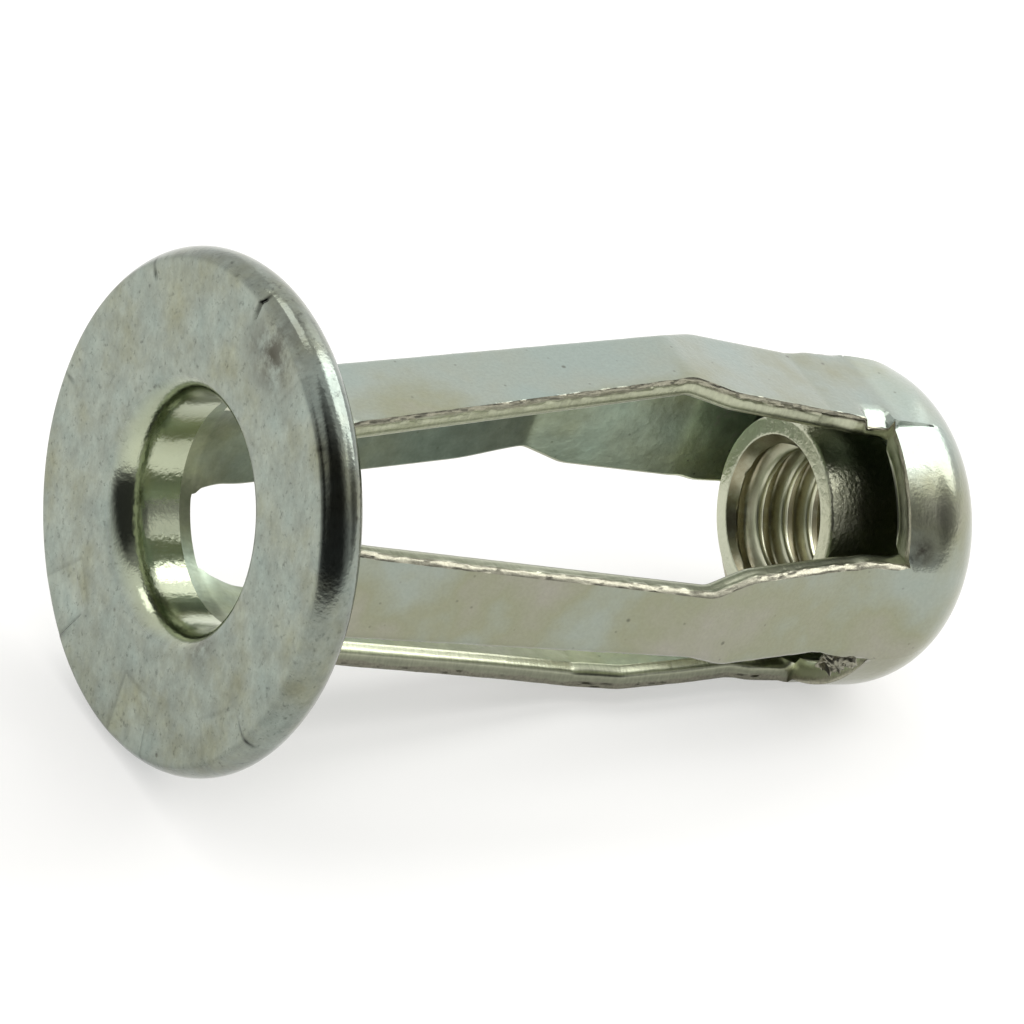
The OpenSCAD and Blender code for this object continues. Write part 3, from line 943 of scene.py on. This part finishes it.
def plate_colour(tree, place, size, spread, warmth, lean):
    """Film of the passivate over the zinc, with its grain and dark specks.

    Its tints have a size in mm, a spread, and a warmth that leans with the place; that lean is a painted
    reflection of the floor, and the mesh's painted shading adds painted light and shade over the grain.
    """
    # the tint leans warmer with the place: a painted reflection of the floor
    floor_reflection_tint = add_node(tree, "ShaderNodeVectorMath", {0: place, 1: lean}, operation="DOT_PRODUCT")
    broad = add_node(
        tree,
        "ShaderNodeTexNoise",
        {"Vector": place, "Scale": per_mm(size), "Detail": 4.0, "Roughness": 0.55},
    )
    local = add_node(tree, "ShaderNodeMath", {0: floor_reflection_tint.outputs["Value"], 1: warmth}, operation="ADD")
    film = add_node(
        tree,
        "ShaderNodeMath",
        {0: broad.outputs["Fac"], 1: spread, 2: local.outputs["Value"]},
        operation="MULTIPLY_ADD",
    )
    ramp = add_node(tree, "ShaderNodeValToRGB", {"Fac": film.outputs["Value"]})
    stops = [(0.36, "zinc_cool"), (0.48, "zinc"), (0.62, "zinc_warm"), (0.78, "zinc_rose")]
    for element, (position, name) in zip(ramp.color_ramp.elements, (stops[0], stops[-1])):
        element.position, element.color = position, colour(name)
    for position, name in stops[1:-1]:
        ramp.color_ramp.elements.new(position).color = colour(name)
    # the grain of the plate is too fine to show, so it is drawn coarser
    grain = add_node(tree, "ShaderNodeTexNoise", {"Vector": place, "Scale": per_mm(0.09), "Detail": 3.0})
    shade = add_node(
        tree,
        "ShaderNodeMapRange",
        {"Value": grain.outputs["Fac"], "From Min": 0.3, "From Max": 0.7, "To Min": 0.95, "To Max": 1.04},
    )
    # painted light and shade carried by the mesh lighten or darken the grain
    tone = add_node(tree, "ShaderNodeAttribute", attribute_name="tone").outputs["Fac"]
    toned = add_node(tree, "ShaderNodeMath", {0: shade.outputs["Result"], 1: tone}, operation="ADD")
    body = add_node(
        tree,
        "ShaderNodeMix",
        {0: 1.0, 6: ramp.outputs["Color"], 7: toned.outputs["Value"]},
        data_type="RGBA",
        blend_type="MULTIPLY",
    )
    speck = add_node(tree, "ShaderNodeTexVoronoi", {"Vector": place, "Scale": per_mm(1.3)})
    dot = add_node(
        tree,
        "ShaderNodeMapRange",
        {
            "Value": speck.outputs["Distance"],
            "From Min": 0.025,
            "From Max": 0.06,
            "To Min": 0.7,
            "To Max": 0.0,
        },
    )
    grit = add_node(tree, "ShaderNodeTexVoronoi", {"Vector": place, "Scale": per_mm(0.55)})
    grain_dot = add_node(
        tree,
        "ShaderNodeMapRange",
        {
            "Value": grit.outputs["Distance"],
            "From Min": 0.04,
            "From Max": 0.09,
            "To Min": 0.4,
            "To Max": 0.0,
        },
    )
    dots = add_node(
        tree,
        "ShaderNodeMath",
        {0: dot.outputs["Result"], 1: grain_dot.outputs["Result"]},
        operation="MAXIMUM",
    )
    return add_node(
        tree,
        "ShaderNodeMix",
        {0: dots.outputs["Value"], 6: body.outputs[2], 7: colour("soil")},
        data_type="RGBA",
    )


def zinc_sheet():
    """Bright zinc plate over rolled steel, with a clear passivate.

    Satin metal with a fine crystal sparkle and the faint orange peel of bent sheet, under yellow, blue
    and pink films.
    """
    return satin_plate("zinc_plate_rolled_sheet", "zinc", share=0.0, dull=0.18, relief=0.009)


def zinc_tube():
    """Bright zinc plate over the drawn tube: yellower and duller than the sheet, with a deeper peel."""
    return satin_plate("zinc_plate_drawn_tube", "crest", share=0.8, dull=0.3, relief=0.045)


# Smudges on the face of the flange and dirt on the head: centre and reach in mm, and strength
FACE_SMUDGES = [((-5.7, -1.2, 0.0), 1.6, 1.0), ((2.2, -2.8, 0.0), 0.9, 0.8)]
HEAD_DIRT = [((-1.7, -3.9, 20.1), 0.5, 1.0)]
# Direction of the streaks on the face, round from the leg that lies down
STREAK_TURN = math.radians(155)


def smudged(tree, place, body, spots):
    """Lays patchy smudges over a colour, each with its centre and reach in mm and its strength."""
    cloud = add_node(
        tree, "ShaderNodeTexNoise", {"Vector": place, "Scale": per_mm(0.5), "Detail": 4.0, "Roughness": 0.7}
    )
    for centre, reach, strength in spots:
        off = add_node(tree, "ShaderNodeVectorMath", {0: place, 1: centre}, operation="DISTANCE")
        spread = add_node(
            tree,
            "ShaderNodeMapRange",
            {
                "Value": off.outputs["Value"],
                "From Min": 0.1,
                "From Max": reach,
                "To Min": 1.0,
                "To Max": 0.0,
            },
        )
        patchy = add_node(
            tree,
            "ShaderNodeMapRange",
            {
                "Value": cloud.outputs["Fac"],
                "From Min": 0.36,
                "From Max": 0.58,
                "To Min": 0.0,
                "To Max": strength,
            },
        )
        smudge = add_node(
            tree,
            "ShaderNodeMath",
            {0: spread.outputs["Result"], 1: patchy.outputs["Result"]},
            operation="MULTIPLY",
        )
        body = add_node(
            tree,
            "ShaderNodeMix",
            {0: smudge.outputs["Value"], 6: body.outputs[2], 7: colour("soil")},
            data_type="RGBA",
        )
    return body


def satin_plate(name, tint, share, dull, relief):
    """Satin zinc plate, a share towards a tint, of a roughness, with an orange peel of a relief in mm."""
    if name in bpy.data.materials:
        return bpy.data.materials[name]
    material, tree = new_material(name)
    place = add_node(tree, "ShaderNodeAttribute", attribute_name="nut_place").outputs["Vector"]
    # the films lean warmer towards the leg that lies down and the near leg: a painted reflection of the floor
    film = plate_colour(tree, place, size=4, spread=1.0, warmth=0.055, lean=(0.017, -0.017, -0.002))
    body = add_node(
        tree, "ShaderNodeMix", {0: share, 6: film.outputs[2], 7: colour(tint)}, data_type="RGBA"
    )
    # the inside of the sheet is duller than its outside, mottled and greener
    inside = add_node(tree, "ShaderNodeAttribute", attribute_name="cut_depth").outputs["Fac"]
    mist = add_node(
        tree, "ShaderNodeTexNoise", {"Vector": place, "Scale": per_mm(0.7), "Detail": 5.0, "Roughness": 0.6}
    )
    mottle = add_node(
        tree,
        "ShaderNodeMapRange",
        {"Value": mist.outputs["Fac"], "From Min": 0.35, "From Max": 0.65, "To Min": 0.86, "To Max": 1.16},
    )
    for shade in (colour("inside"), mottle.outputs["Result"]):
        body = add_node(
            tree,
            "ShaderNodeMix",
            {0: inside, 6: body.outputs[2], 7: shade},
            data_type="RGBA",
            blend_type="MULTIPLY",
        )
    # dirt on the head, beside the slot end next to the near leg
    body = smudged(tree, place, body, HEAD_DIRT)
    # the crystals of the plate are too fine to show, so they are drawn a tenth of a millimetre wide
    crystal = add_node(tree, "ShaderNodeTexNoise", {"Vector": place, "Scale": per_mm(0.1), "Detail": 3.0})
    peel = add_node(tree, "ShaderNodeTexNoise", {"Vector": place, "Scale": per_mm(0.35), "Detail": 2.0})
    fine = add_node(
        tree,
        "ShaderNodeBump",
        {"Strength": 0.8, "Distance": 0.65 * relief * MM, "Height": crystal.outputs["Fac"]},
    )
    depth = add_node(
        tree, "ShaderNodeMath", {0: inside, 1: 0.012 * MM, 2: relief * MM}, operation="MULTIPLY_ADD"
    )
    bump = add_node(
        tree,
        "ShaderNodeBump",
        {
            "Strength": 0.7,
            "Distance": depth.outputs["Value"],
            "Height": peel.outputs["Fac"],
            "Normal": fine.outputs["Normal"],
        },
    )
    satin = add_node(tree, "ShaderNodeMath", {0: inside, 1: 0.2, 2: dull}, operation="MULTIPLY_ADD")
    metal = add_node(
        tree,
        "ShaderNodeBsdfPrincipled",
        {
            "Base Color": body.outputs[2],
            "Metallic": 1.0,
            "Roughness": satin.outputs["Value"],
            "Normal": bump.outputs["Normal"],
        },
    )
    add_node(tree, "ShaderNodeOutputMaterial", {"Surface": metal.outputs["BSDF"]})
    return material


def zinc_flange():
    """Bright zinc plate on the pressed flange, rubbed dull.

    Mottled satin face with faint streaks one way across it, small dark pits and two smudges.
    """
    material, tree = new_material("zinc_plate_pressed_flange")
    place = add_node(tree, "ShaderNodeAttribute", attribute_name="nut_place").outputs["Vector"]
    body = plate_colour(tree, place, size=1.8, spread=0.6, warmth=0.18, lean=(0.0, 0.0, 0.0))
    # faint streaks from the press
    turn = add_node(
        tree, "ShaderNodeVectorRotate", {"Vector": place, "Angle": -STREAK_TURN}, rotation_type="Z_AXIS"
    )
    squeeze = add_node(
        tree, "ShaderNodeVectorMath", {0: turn.outputs["Vector"], 1: (0.7, 1.0, 1.0)}, operation="MULTIPLY"
    )
    streak = add_node(
        tree,
        "ShaderNodeTexNoise",
        {"Vector": squeeze.outputs["Vector"], "Scale": per_mm(0.26), "Detail": 4.0, "Roughness": 0.65},
    )
    streaked = add_node(
        tree,
        "ShaderNodeMapRange",
        {"Value": streak.outputs["Fac"], "From Min": 0.3, "From Max": 0.7, "To Min": 0.88, "To Max": 1.09},
    )
    face = add_node(
        tree,
        "ShaderNodeMix",
        {0: 1.0, 6: body.outputs[2], 7: streaked.outputs["Result"]},
        data_type="RGBA",
        blend_type="MULTIPLY",
    )
    # clouds and small dark pits where the face was rubbed
    mist = add_node(
        tree,
        "ShaderNodeTexNoise",
        {"Vector": place, "Scale": per_mm(1.0), "Detail": 5.0, "Roughness": 0.66},
    )
    clouded = add_node(
        tree,
        "ShaderNodeMapRange",
        {"Value": mist.outputs["Fac"], "From Min": 0.34, "From Max": 0.64, "To Min": 0.87, "To Max": 1.13},
    )
    fleck = add_node(
        tree, "ShaderNodeTexNoise", {"Vector": place, "Scale": per_mm(0.2), "Detail": 4.0, "Roughness": 0.7}
    )
    flecked = add_node(
        tree,
        "ShaderNodeMapRange",
        {"Value": fleck.outputs["Fac"], "From Min": 0.57, "From Max": 0.72, "To Min": 1.0, "To Max": 0.5},
    )
    worn = add_node(
        tree,
        "ShaderNodeMath",
        {0: clouded.outputs["Result"], 1: flecked.outputs["Result"]},
        operation="MULTIPLY",
    )
    face = add_node(
        tree,
        "ShaderNodeMix",
        {0: 1.0, 6: face.outputs[2], 7: worn.outputs["Value"]},
        data_type="RGBA",
        blend_type="MULTIPLY",
    )
    # the throat is drawn, and yellower than the face
    throat = add_node(tree, "ShaderNodeAttribute", attribute_name="cut_depth").outputs["Fac"]
    share = add_node(tree, "ShaderNodeMath", {0: throat, 1: 0.8}, operation="MULTIPLY")
    face = add_node(
        tree,
        "ShaderNodeMix",
        {0: share.outputs["Value"], 6: face.outputs[2], 7: colour("drawn")},
        data_type="RGBA",
    )
    # smudges beside the rim, above the middle, and under the throat
    soiled = smudged(tree, place, face, FACE_SMUDGES)
    # crystals of the plate, drawn coarser than they are so that they show
    crystal = add_node(tree, "ShaderNodeTexNoise", {"Vector": place, "Scale": per_mm(0.12), "Detail": 3.0})
    # the flat face is dull; the rolled rim and the throat are brighter
    split = add_node(tree, "ShaderNodeSeparateXYZ", {"Vector": place})
    dull = add_node(
        tree,
        "ShaderNodeMapRange",
        {"Value": split.outputs["Z"], "From Min": 0.02, "From Max": 0.1, "To Min": 0.38, "To Max": 0.14},
    )
    fine = add_node(
        tree, "ShaderNodeBump", {"Strength": 0.9, "Distance": 0.006 * MM, "Height": crystal.outputs["Fac"]}
    )
    bump = add_node(
        tree,
        "ShaderNodeBump",
        {
            "Strength": 0.5,
            "Distance": 0.004 * MM,
            "Height": streak.outputs["Fac"],
            "Normal": fine.outputs["Normal"],
        },
    )
    metal = add_node(
        tree,
        "ShaderNodeBsdfPrincipled",
        {
            "Base Color": soiled.outputs[2],
            "Metallic": 1.0,
            "Roughness": dull.outputs["Result"],
            "Normal": bump.outputs["Normal"],
        },
    )
    add_node(tree, "ShaderNodeOutputMaterial", {"Surface": metal.outputs["BSDF"]})
    return material


def zinc_edge():
    """Zinc plate over a punched edge.

    Smooth and finely scored where the punch sheared it, rough and brownish where it tore.
    """
    if "zinc_plate_punched_edge" in bpy.data.materials:
        return bpy.data.materials["zinc_plate_punched_edge"]
    material, tree = new_material("zinc_plate_punched_edge")
    place = add_node(tree, "ShaderNodeAttribute", attribute_name="nut_place").outputs["Vector"]
    depth = add_node(tree, "ShaderNodeAttribute", attribute_name="cut_depth").outputs["Fac"]
    # the border between the torn and the sheared part wanders along the edge
    drift = add_node(tree, "ShaderNodeTexNoise", {"Vector": place, "Scale": per_mm(0.9), "Detail": 3.0})
    moved = add_node(
        tree, "ShaderNodeMath", {0: drift.outputs["Fac"], 1: 0.5, 2: depth}, operation="MULTIPLY_ADD"
    )
    torn = add_node(
        tree,
        "ShaderNodeMapRange",
        {"Value": moved.outputs["Value"], "From Min": 0.48, "From Max": 0.58, "To Min": 1.0, "To Max": 0.0},
    )
    # the grit of the tear and the score lines of the punch are too fine to show, so both are drawn coarser
    grit = add_node(
        tree,
        "ShaderNodeTexNoise",
        {"Vector": place, "Scale": per_mm(0.09), "Detail": 4.0, "Roughness": 0.7},
    )
    pits = add_node(
        tree,
        "ShaderNodeMapRange",
        {"Value": grit.outputs["Fac"], "From Min": 0.32, "From Max": 0.6, "To Min": 0.75, "To Max": 1.1},
    )
    rough_metal = add_node(
        tree,
        "ShaderNodeMix",
        {0: 1.0, 6: colour("fracture"), 7: pits.outputs["Result"]},
        data_type="RGBA",
        blend_type="MULTIPLY",
    )
    squeeze = add_node(tree, "ShaderNodeVectorMath", {0: place, 1: (0.25, 0.25, 1.0)}, operation="MULTIPLY")
    score = add_node(
        tree,
        "ShaderNodeTexNoise",
        {"Vector": squeeze.outputs["Vector"], "Scale": per_mm(0.08), "Detail": 2.0},
    )
    scored = add_node(
        tree,
        "ShaderNodeMapRange",
        {"Value": score.outputs["Fac"], "From Min": 0.3, "From Max": 0.7, "To Min": 0.86, "To Max": 1.06},
    )
    smooth_metal = add_node(
        tree,
        "ShaderNodeMix",
        {0: 1.0, 6: colour("burnish"), 7: scored.outputs["Result"]},
        data_type="RGBA",
        blend_type="MULTIPLY",
    )
    body = add_node(
        tree,
        "ShaderNodeMix",
        {0: torn.outputs["Result"], 6: smooth_metal.outputs[2], 7: rough_metal.outputs[2]},
        data_type="RGBA",
    )
    # painted light and shade carried by the mesh lighten or darken the edge
    tone = add_node(tree, "ShaderNodeAttribute", attribute_name="tone").outputs["Fac"]
    toned = add_node(tree, "ShaderNodeMath", {0: tone, 1: 1.0}, operation="ADD")
    body = add_node(
        tree,
        "ShaderNodeMix",
        {0: 1.0, 6: body.outputs[2], 7: toned.outputs["Value"]},
        data_type="RGBA",
        blend_type="MULTIPLY",
    )
    gloss = add_node(
        tree, "ShaderNodeMapRange", {"Value": torn.outputs["Result"], "To Min": 0.28, "To Max": 0.32}
    )
    height = add_node(
        tree,
        "ShaderNodeMix",
        {0: torn.outputs["Result"], 2: score.outputs["Fac"], 3: grit.outputs["Fac"]},
        data_type="FLOAT",
    )
    bump = add_node(
        tree, "ShaderNodeBump", {"Strength": 0.5, "Distance": 0.014 * MM, "Height": height.outputs[0]}
    )
    metal = add_node(
        tree,
        "ShaderNodeBsdfPrincipled",
        {
            "Base Color": body.outputs[2],
            "Metallic": 1.0,
            "Roughness": gloss.outputs["Result"],
            "Normal": bump.outputs["Normal"],
        },
    )
    add_node(tree, "ShaderNodeOutputMaterial", {"Surface": metal.outputs["BSDF"]})
    return material


def zinc_thread():
    """Zinc plate on a formed thread: polished crests and flanks, with a brownish film of oil in the roots."""
    if "zinc_plate_formed_thread" in bpy.data.materials:
        return bpy.data.materials["zinc_plate_formed_thread"]
    material, tree = new_material("zinc_plate_formed_thread")
    place = add_node(tree, "ShaderNodeAttribute", attribute_name="nut_place").outputs["Vector"]
    depth = add_node(tree, "ShaderNodeAttribute", attribute_name="cut_depth").outputs["Fac"]
    film = add_node(
        tree,
        "ShaderNodeTexNoise",
        {"Vector": place, "Scale": per_mm(0.4), "Detail": 4.0, "Roughness": 0.65},
    )
    oil = add_node(
        tree,
        "ShaderNodeMath",
        {0: depth, 1: film.outputs["Fac"]},
        operation="MULTIPLY",
    )
    oily = add_node(
        tree,
        "ShaderNodeMapRange",
        {"Value": oil.outputs["Value"], "From Min": 0.1, "From Max": 0.5, "To Min": 0.0, "To Max": 0.9},
    )
    body = add_node(
        tree,
        "ShaderNodeMix",
        {0: oily.outputs["Result"], 6: colour("crest"), 7: colour("root")},
        data_type="RGBA",
    )
    bump = add_node(
        tree, "ShaderNodeBump", {"Strength": 0.4, "Distance": 0.01 * MM, "Height": film.outputs["Fac"]}
    )
    metal = add_node(
        tree,
        "ShaderNodeBsdfPrincipled",
        {
            "Base Color": body.outputs[2],
            "Metallic": 1.0,
            "Roughness": 0.3,
            "Normal": bump.outputs["Normal"],
        },
    )
    add_node(tree, "ShaderNodeOutputMaterial", {"Surface": metal.outputs["BSDF"]})
    return material


def toward(azimuth, elevation, distance):
    """A place at a distance from the object, by its azimuth from +X and its elevation in degrees."""
    a, e = math.radians(azimuth), math.radians(elevation)
    return Vector((math.cos(a) * math.cos(e), math.sin(a) * math.cos(e), math.sin(e))) * distance


# Softboxes: azimuth, elevation and lean, the two angles that they span, in degrees, and brightness
LAMPS = [
    ("key_softbox", 5, 37, 8, (27, 48), 2.8),
    ("side_softbox", -22, 41, 0, (18, 11), 1.6),
    ("fill_softbox", 43, 23, 0, (46, 48), 0.3),
    ("key_edge", 27, 38, 0, (20, 44), 0.5),
    ("top_softbox", 85, 62, 0, (28, 24), 1.6),
]
# Sizes of the stage in metres
LAMP_DISTANCE, DOME_RADIUS, FLOOR_HALF = 0.35, 0.15, 1.0
# How much light the floor shows by itself to the camera and in reflections
FLOOR_LIFT = 0.45


class StageSettings(bpy.types.PropertyGroup):
    """Camera, floor and surround of the studio."""

    azimuth: angle_prop("Azimuth", "Where the camera stands, round from +X", -126.564)
    elevation: angle_prop("Elevation", "Height of the camera over the horizon", 32.491)
    roll: angle_prop("Roll", "Turn of the camera about its line of sight", 15.634)
    distance: length_prop("Distance", "From the camera to the point that it looks at", 404.348)
    aim: FloatVectorProperty(
        name="Aim",
        description="Point that the camera looks at",
        default=(-0.00382954, -0.00384607, 0.00869373),
        subtype="TRANSLATION",
        unit="LENGTH",
        precision=6,
    )
    lens: FloatProperty(name="Lens", description="Focal length of the camera", default=562.5, unit="CAMERA")
    surround: FloatProperty(name="Surround", description="Brightness of the white surround", default=1.0)
    floor: colour_prop("Floor", "Colour of the floor", "#c3c2bf")


class JACKNUT_OT_stage(bpy.types.Operator):
    """Sets the floor, the white surround with its dark side, the lamps and the camera"""

    bl_idname = "jacknut.stage"
    bl_label = "Stage"

    def execute(self, context):
        scene = context.scene
        s = scene.jack_nut_stage
        scene.view_settings.view_transform = "Standard"
        self.surround(scene, s)
        self.floor(s)
        self.dark_side()
        for lamp in LAMPS:
            self.lamp(*lamp)
        self.camera(scene, s)
        return {"FINISHED"}

    def surround(self, scene, s):
        """The plain white surround, as the world."""
        world = bpy.data.worlds.new("white_surround")
        world.use_nodes = True
        tree = world.node_tree
        tree.nodes.clear()
        light = add_node(tree, "ShaderNodeBackground", {"Color": (1, 1, 1, 1), "Strength": s.surround})
        add_node(tree, "ShaderNodeOutputWorld", {"Surface": light.outputs["Background"]})
        scene.world = world

    def floor(self, s):
        """The pale floor, which keeps the nut's shadow."""
        material, tree = new_material("white_floor")
        matt = add_node(tree, "ShaderNodeBsdfDiffuse", {"Color": (*s.floor, 1)})
        path = add_node(tree, "ShaderNodeLightPath")
        seen = add_node(
            tree,
            "ShaderNodeMath",
            {0: path.outputs["Is Camera Ray"], 1: path.outputs["Is Glossy Ray"]},
            operation="MAXIMUM",
        )
        shown = add_node(
            tree,
            "ShaderNodeMath",
            {0: seen.outputs["Value"], 1: path.outputs["Is Transmission Ray"]},
            operation="MAXIMUM",
        )
        lift = add_node(
            tree, "ShaderNodeMath", {0: shown.outputs["Value"], 1: FLOOR_LIFT}, operation="MULTIPLY"
        )
        glow = add_node(
            tree, "ShaderNodeEmission", {"Color": (1, 1, 1, 1), "Strength": lift.outputs["Value"]}
        )
        both = add_node(tree, "ShaderNodeAddShader", {0: matt.outputs["BSDF"], 1: glow.outputs["Emission"]})
        add_node(tree, "ShaderNodeOutputMaterial", {"Surface": both.outputs["Shader"]})
        mesh = bpy.data.meshes.new("floor")
        corners = [(x * FLOOR_HALF, y * FLOOR_HALF, 0) for x, y in ((-1, -1), (1, -1), (1, 1), (-1, 1))]
        mesh.from_pydata(corners, [], [(0, 1, 2, 3)])
        mesh.materials.append(material)
        floor = bpy.data.objects.new("floor", mesh)
        bpy.context.collection.objects.link(floor)

    def dark_side(self):
        """The unlit side of the studio, behind the camera: a black dome that thins out at its borders.

        Only the metal mirrors it; the camera, the floor and the shadows don't see it.
        """
        material, tree = new_material("black_studio_cloth")
        veil = add_node(tree, "ShaderNodeAttribute", attribute_name="veil").outputs["Fac"]
        clear = add_node(tree, "ShaderNodeBsdfTransparent")
        black = add_node(tree, "ShaderNodeBsdfDiffuse", {"Color": (0.01, 0.011, 0.012, 1)})
        mix = add_node(
            tree, "ShaderNodeMixShader", {0: veil, 1: clear.outputs["BSDF"], 2: black.outputs["BSDF"]}
        )
        add_node(tree, "ShaderNodeOutputMaterial", {"Surface": mix.outputs["Shader"]})
        azimuths, elevations = np.meshgrid(np.linspace(-192, -2, 96), np.linspace(0, 89, 46))
        # it thins out towards the lit side, with a pale fold and a dark one, and is paler high up there
        last = -10 + 7 * (1 - ease(16, 30, elevations))
        border = 0.3 * ease(-80, -50, azimuths) + 0.7 * ease(last - 16, last, azimuths)
        border += 0.2 * np.exp(-(((azimuths + 47) / 5) ** 2)) - 0.15 * np.exp(-(((azimuths + 32) / 7) ** 2))
        border += 0.55 * ease(25, 35, elevations) * ease(-65, -38, azimuths)
        cover = ease(-190, -145, azimuths) * np.clip(1 - border, 0, 1) * ease(-8, 12, elevations)
        cover = 0.97 * cover * (1 - 0.35 * ease(55, 85, elevations))
        spots = [toward(a, e, DOME_RADIUS) for a, e in zip(azimuths.ravel(), elevations.ravel())]
        numbers = np.arange(azimuths.size).reshape(azimuths.shape)
        mesh = bpy.data.meshes.new("dark_side")
        mesh.from_pydata([tuple(spot) for spot in spots], [], grid_quads(numbers).tolist())
        layer = mesh.attributes.new("veil", "FLOAT", "POINT")
        layer.data.foreach_set("value", cover.ravel().astype(np.float32))
        mesh.materials.append(material)
        dome = bpy.data.objects.new("dark_side", mesh)
        bpy.context.collection.objects.link(dome)
        dome.visible_camera = dome.visible_diffuse = dome.visible_shadow = False

    def lamp(self, name, azimuth, elevation, lean, spans, brightness):
        """A softbox by its direction and the two angles that it spans, all in degrees, and its brightness."""
        data = bpy.data.lights.new(name, "AREA")
        data.shape = "RECTANGLE"
        data.size, data.size_y = (2 * LAMP_DISTANCE * math.tan(math.radians(span / 2)) for span in spans)
        data.energy = brightness * math.pi * data.size * data.size_y
        lamp = bpy.data.objects.new(name, data)
        place = toward(azimuth, elevation, LAMP_DISTANCE)
        turn = (-place).to_track_quat("-Z", "Y").to_matrix() @ Matrix.Rotation(math.radians(lean), 3, "Z")
        lamp.matrix_world = Matrix.Translation(place) @ turn.to_4x4()
        bpy.context.collection.objects.link(lamp)

    def camera(self, scene, s):
        """The camera at the photograph's viewing angle."""
        data = bpy.data.cameras.new("camera")
        data.sensor_width, data.lens = 36, s.lens
        data.clip_start, data.clip_end = 0.01, 10
        camera = bpy.data.objects.new("camera", data)
        back = toward(math.degrees(s.azimuth), math.degrees(s.elevation), 1)
        level = (-back).to_track_quat("-Z", "Y").to_matrix()
        turn = Matrix.Rotation(s.roll, 3, "Z")
        camera.matrix_world = Matrix.Translation(Vector(s.aim) + back * s.distance) @ (level @ turn).to_4x4()
        bpy.context.collection.objects.link(camera)
        scene.camera = camera


class JACKNUT_PT_panel(bpy.types.Panel):
    """Lists the steps that build the jack nut"""

    bl_idname = "JACKNUT_PT_panel"
    bl_label = "Jack nut"
    bl_space_type = "VIEW_3D"
    bl_region_type = "UI"
    bl_category = "Jack nut"

    def draw(self, context):
        for step in STEPS:
            self.layout.operator(step.bl_idname)
        for label in GROUPS:
            group = getattr(context.scene, label)
            box = self.layout.box()
            for name in group.bl_rna.properties.keys():
                if name not in ("rna_type", "name"):
                    box.prop(group, name)


STEPS = (JACKNUT_OT_flange, JACKNUT_OT_cage, JACKNUT_OT_tube, JACKNUT_OT_sliver, JACKNUT_OT_stage)
GROUPS = {"jack_nut_sizes": NutSizes, "jack_nut_finish": NutFinish, "jack_nut_stage": StageSettings}


def register():
    for kind in (*GROUPS.values(), *STEPS, JACKNUT_PT_panel):
        bpy.utils.register_class(kind)
    for name, kind in GROUPS.items():
        setattr(bpy.types.Scene, name, PointerProperty(type=kind))


def unregister():
    for name in GROUPS:
        delattr(bpy.types.Scene, name)
    for kind in reversed((*GROUPS.values(), *STEPS, JACKNUT_PT_panel)):
        bpy.utils.unregister_class(kind)


def main():
    register()
    bpy.ops.jacknut.flange()
    bpy.ops.jacknut.cage()
    bpy.ops.jacknut.tube()
    bpy.ops.jacknut.sliver()
    bpy.ops.jacknut.stage()
    bpy.context.view_layer.update()


if __name__ == "__main__":
    main()
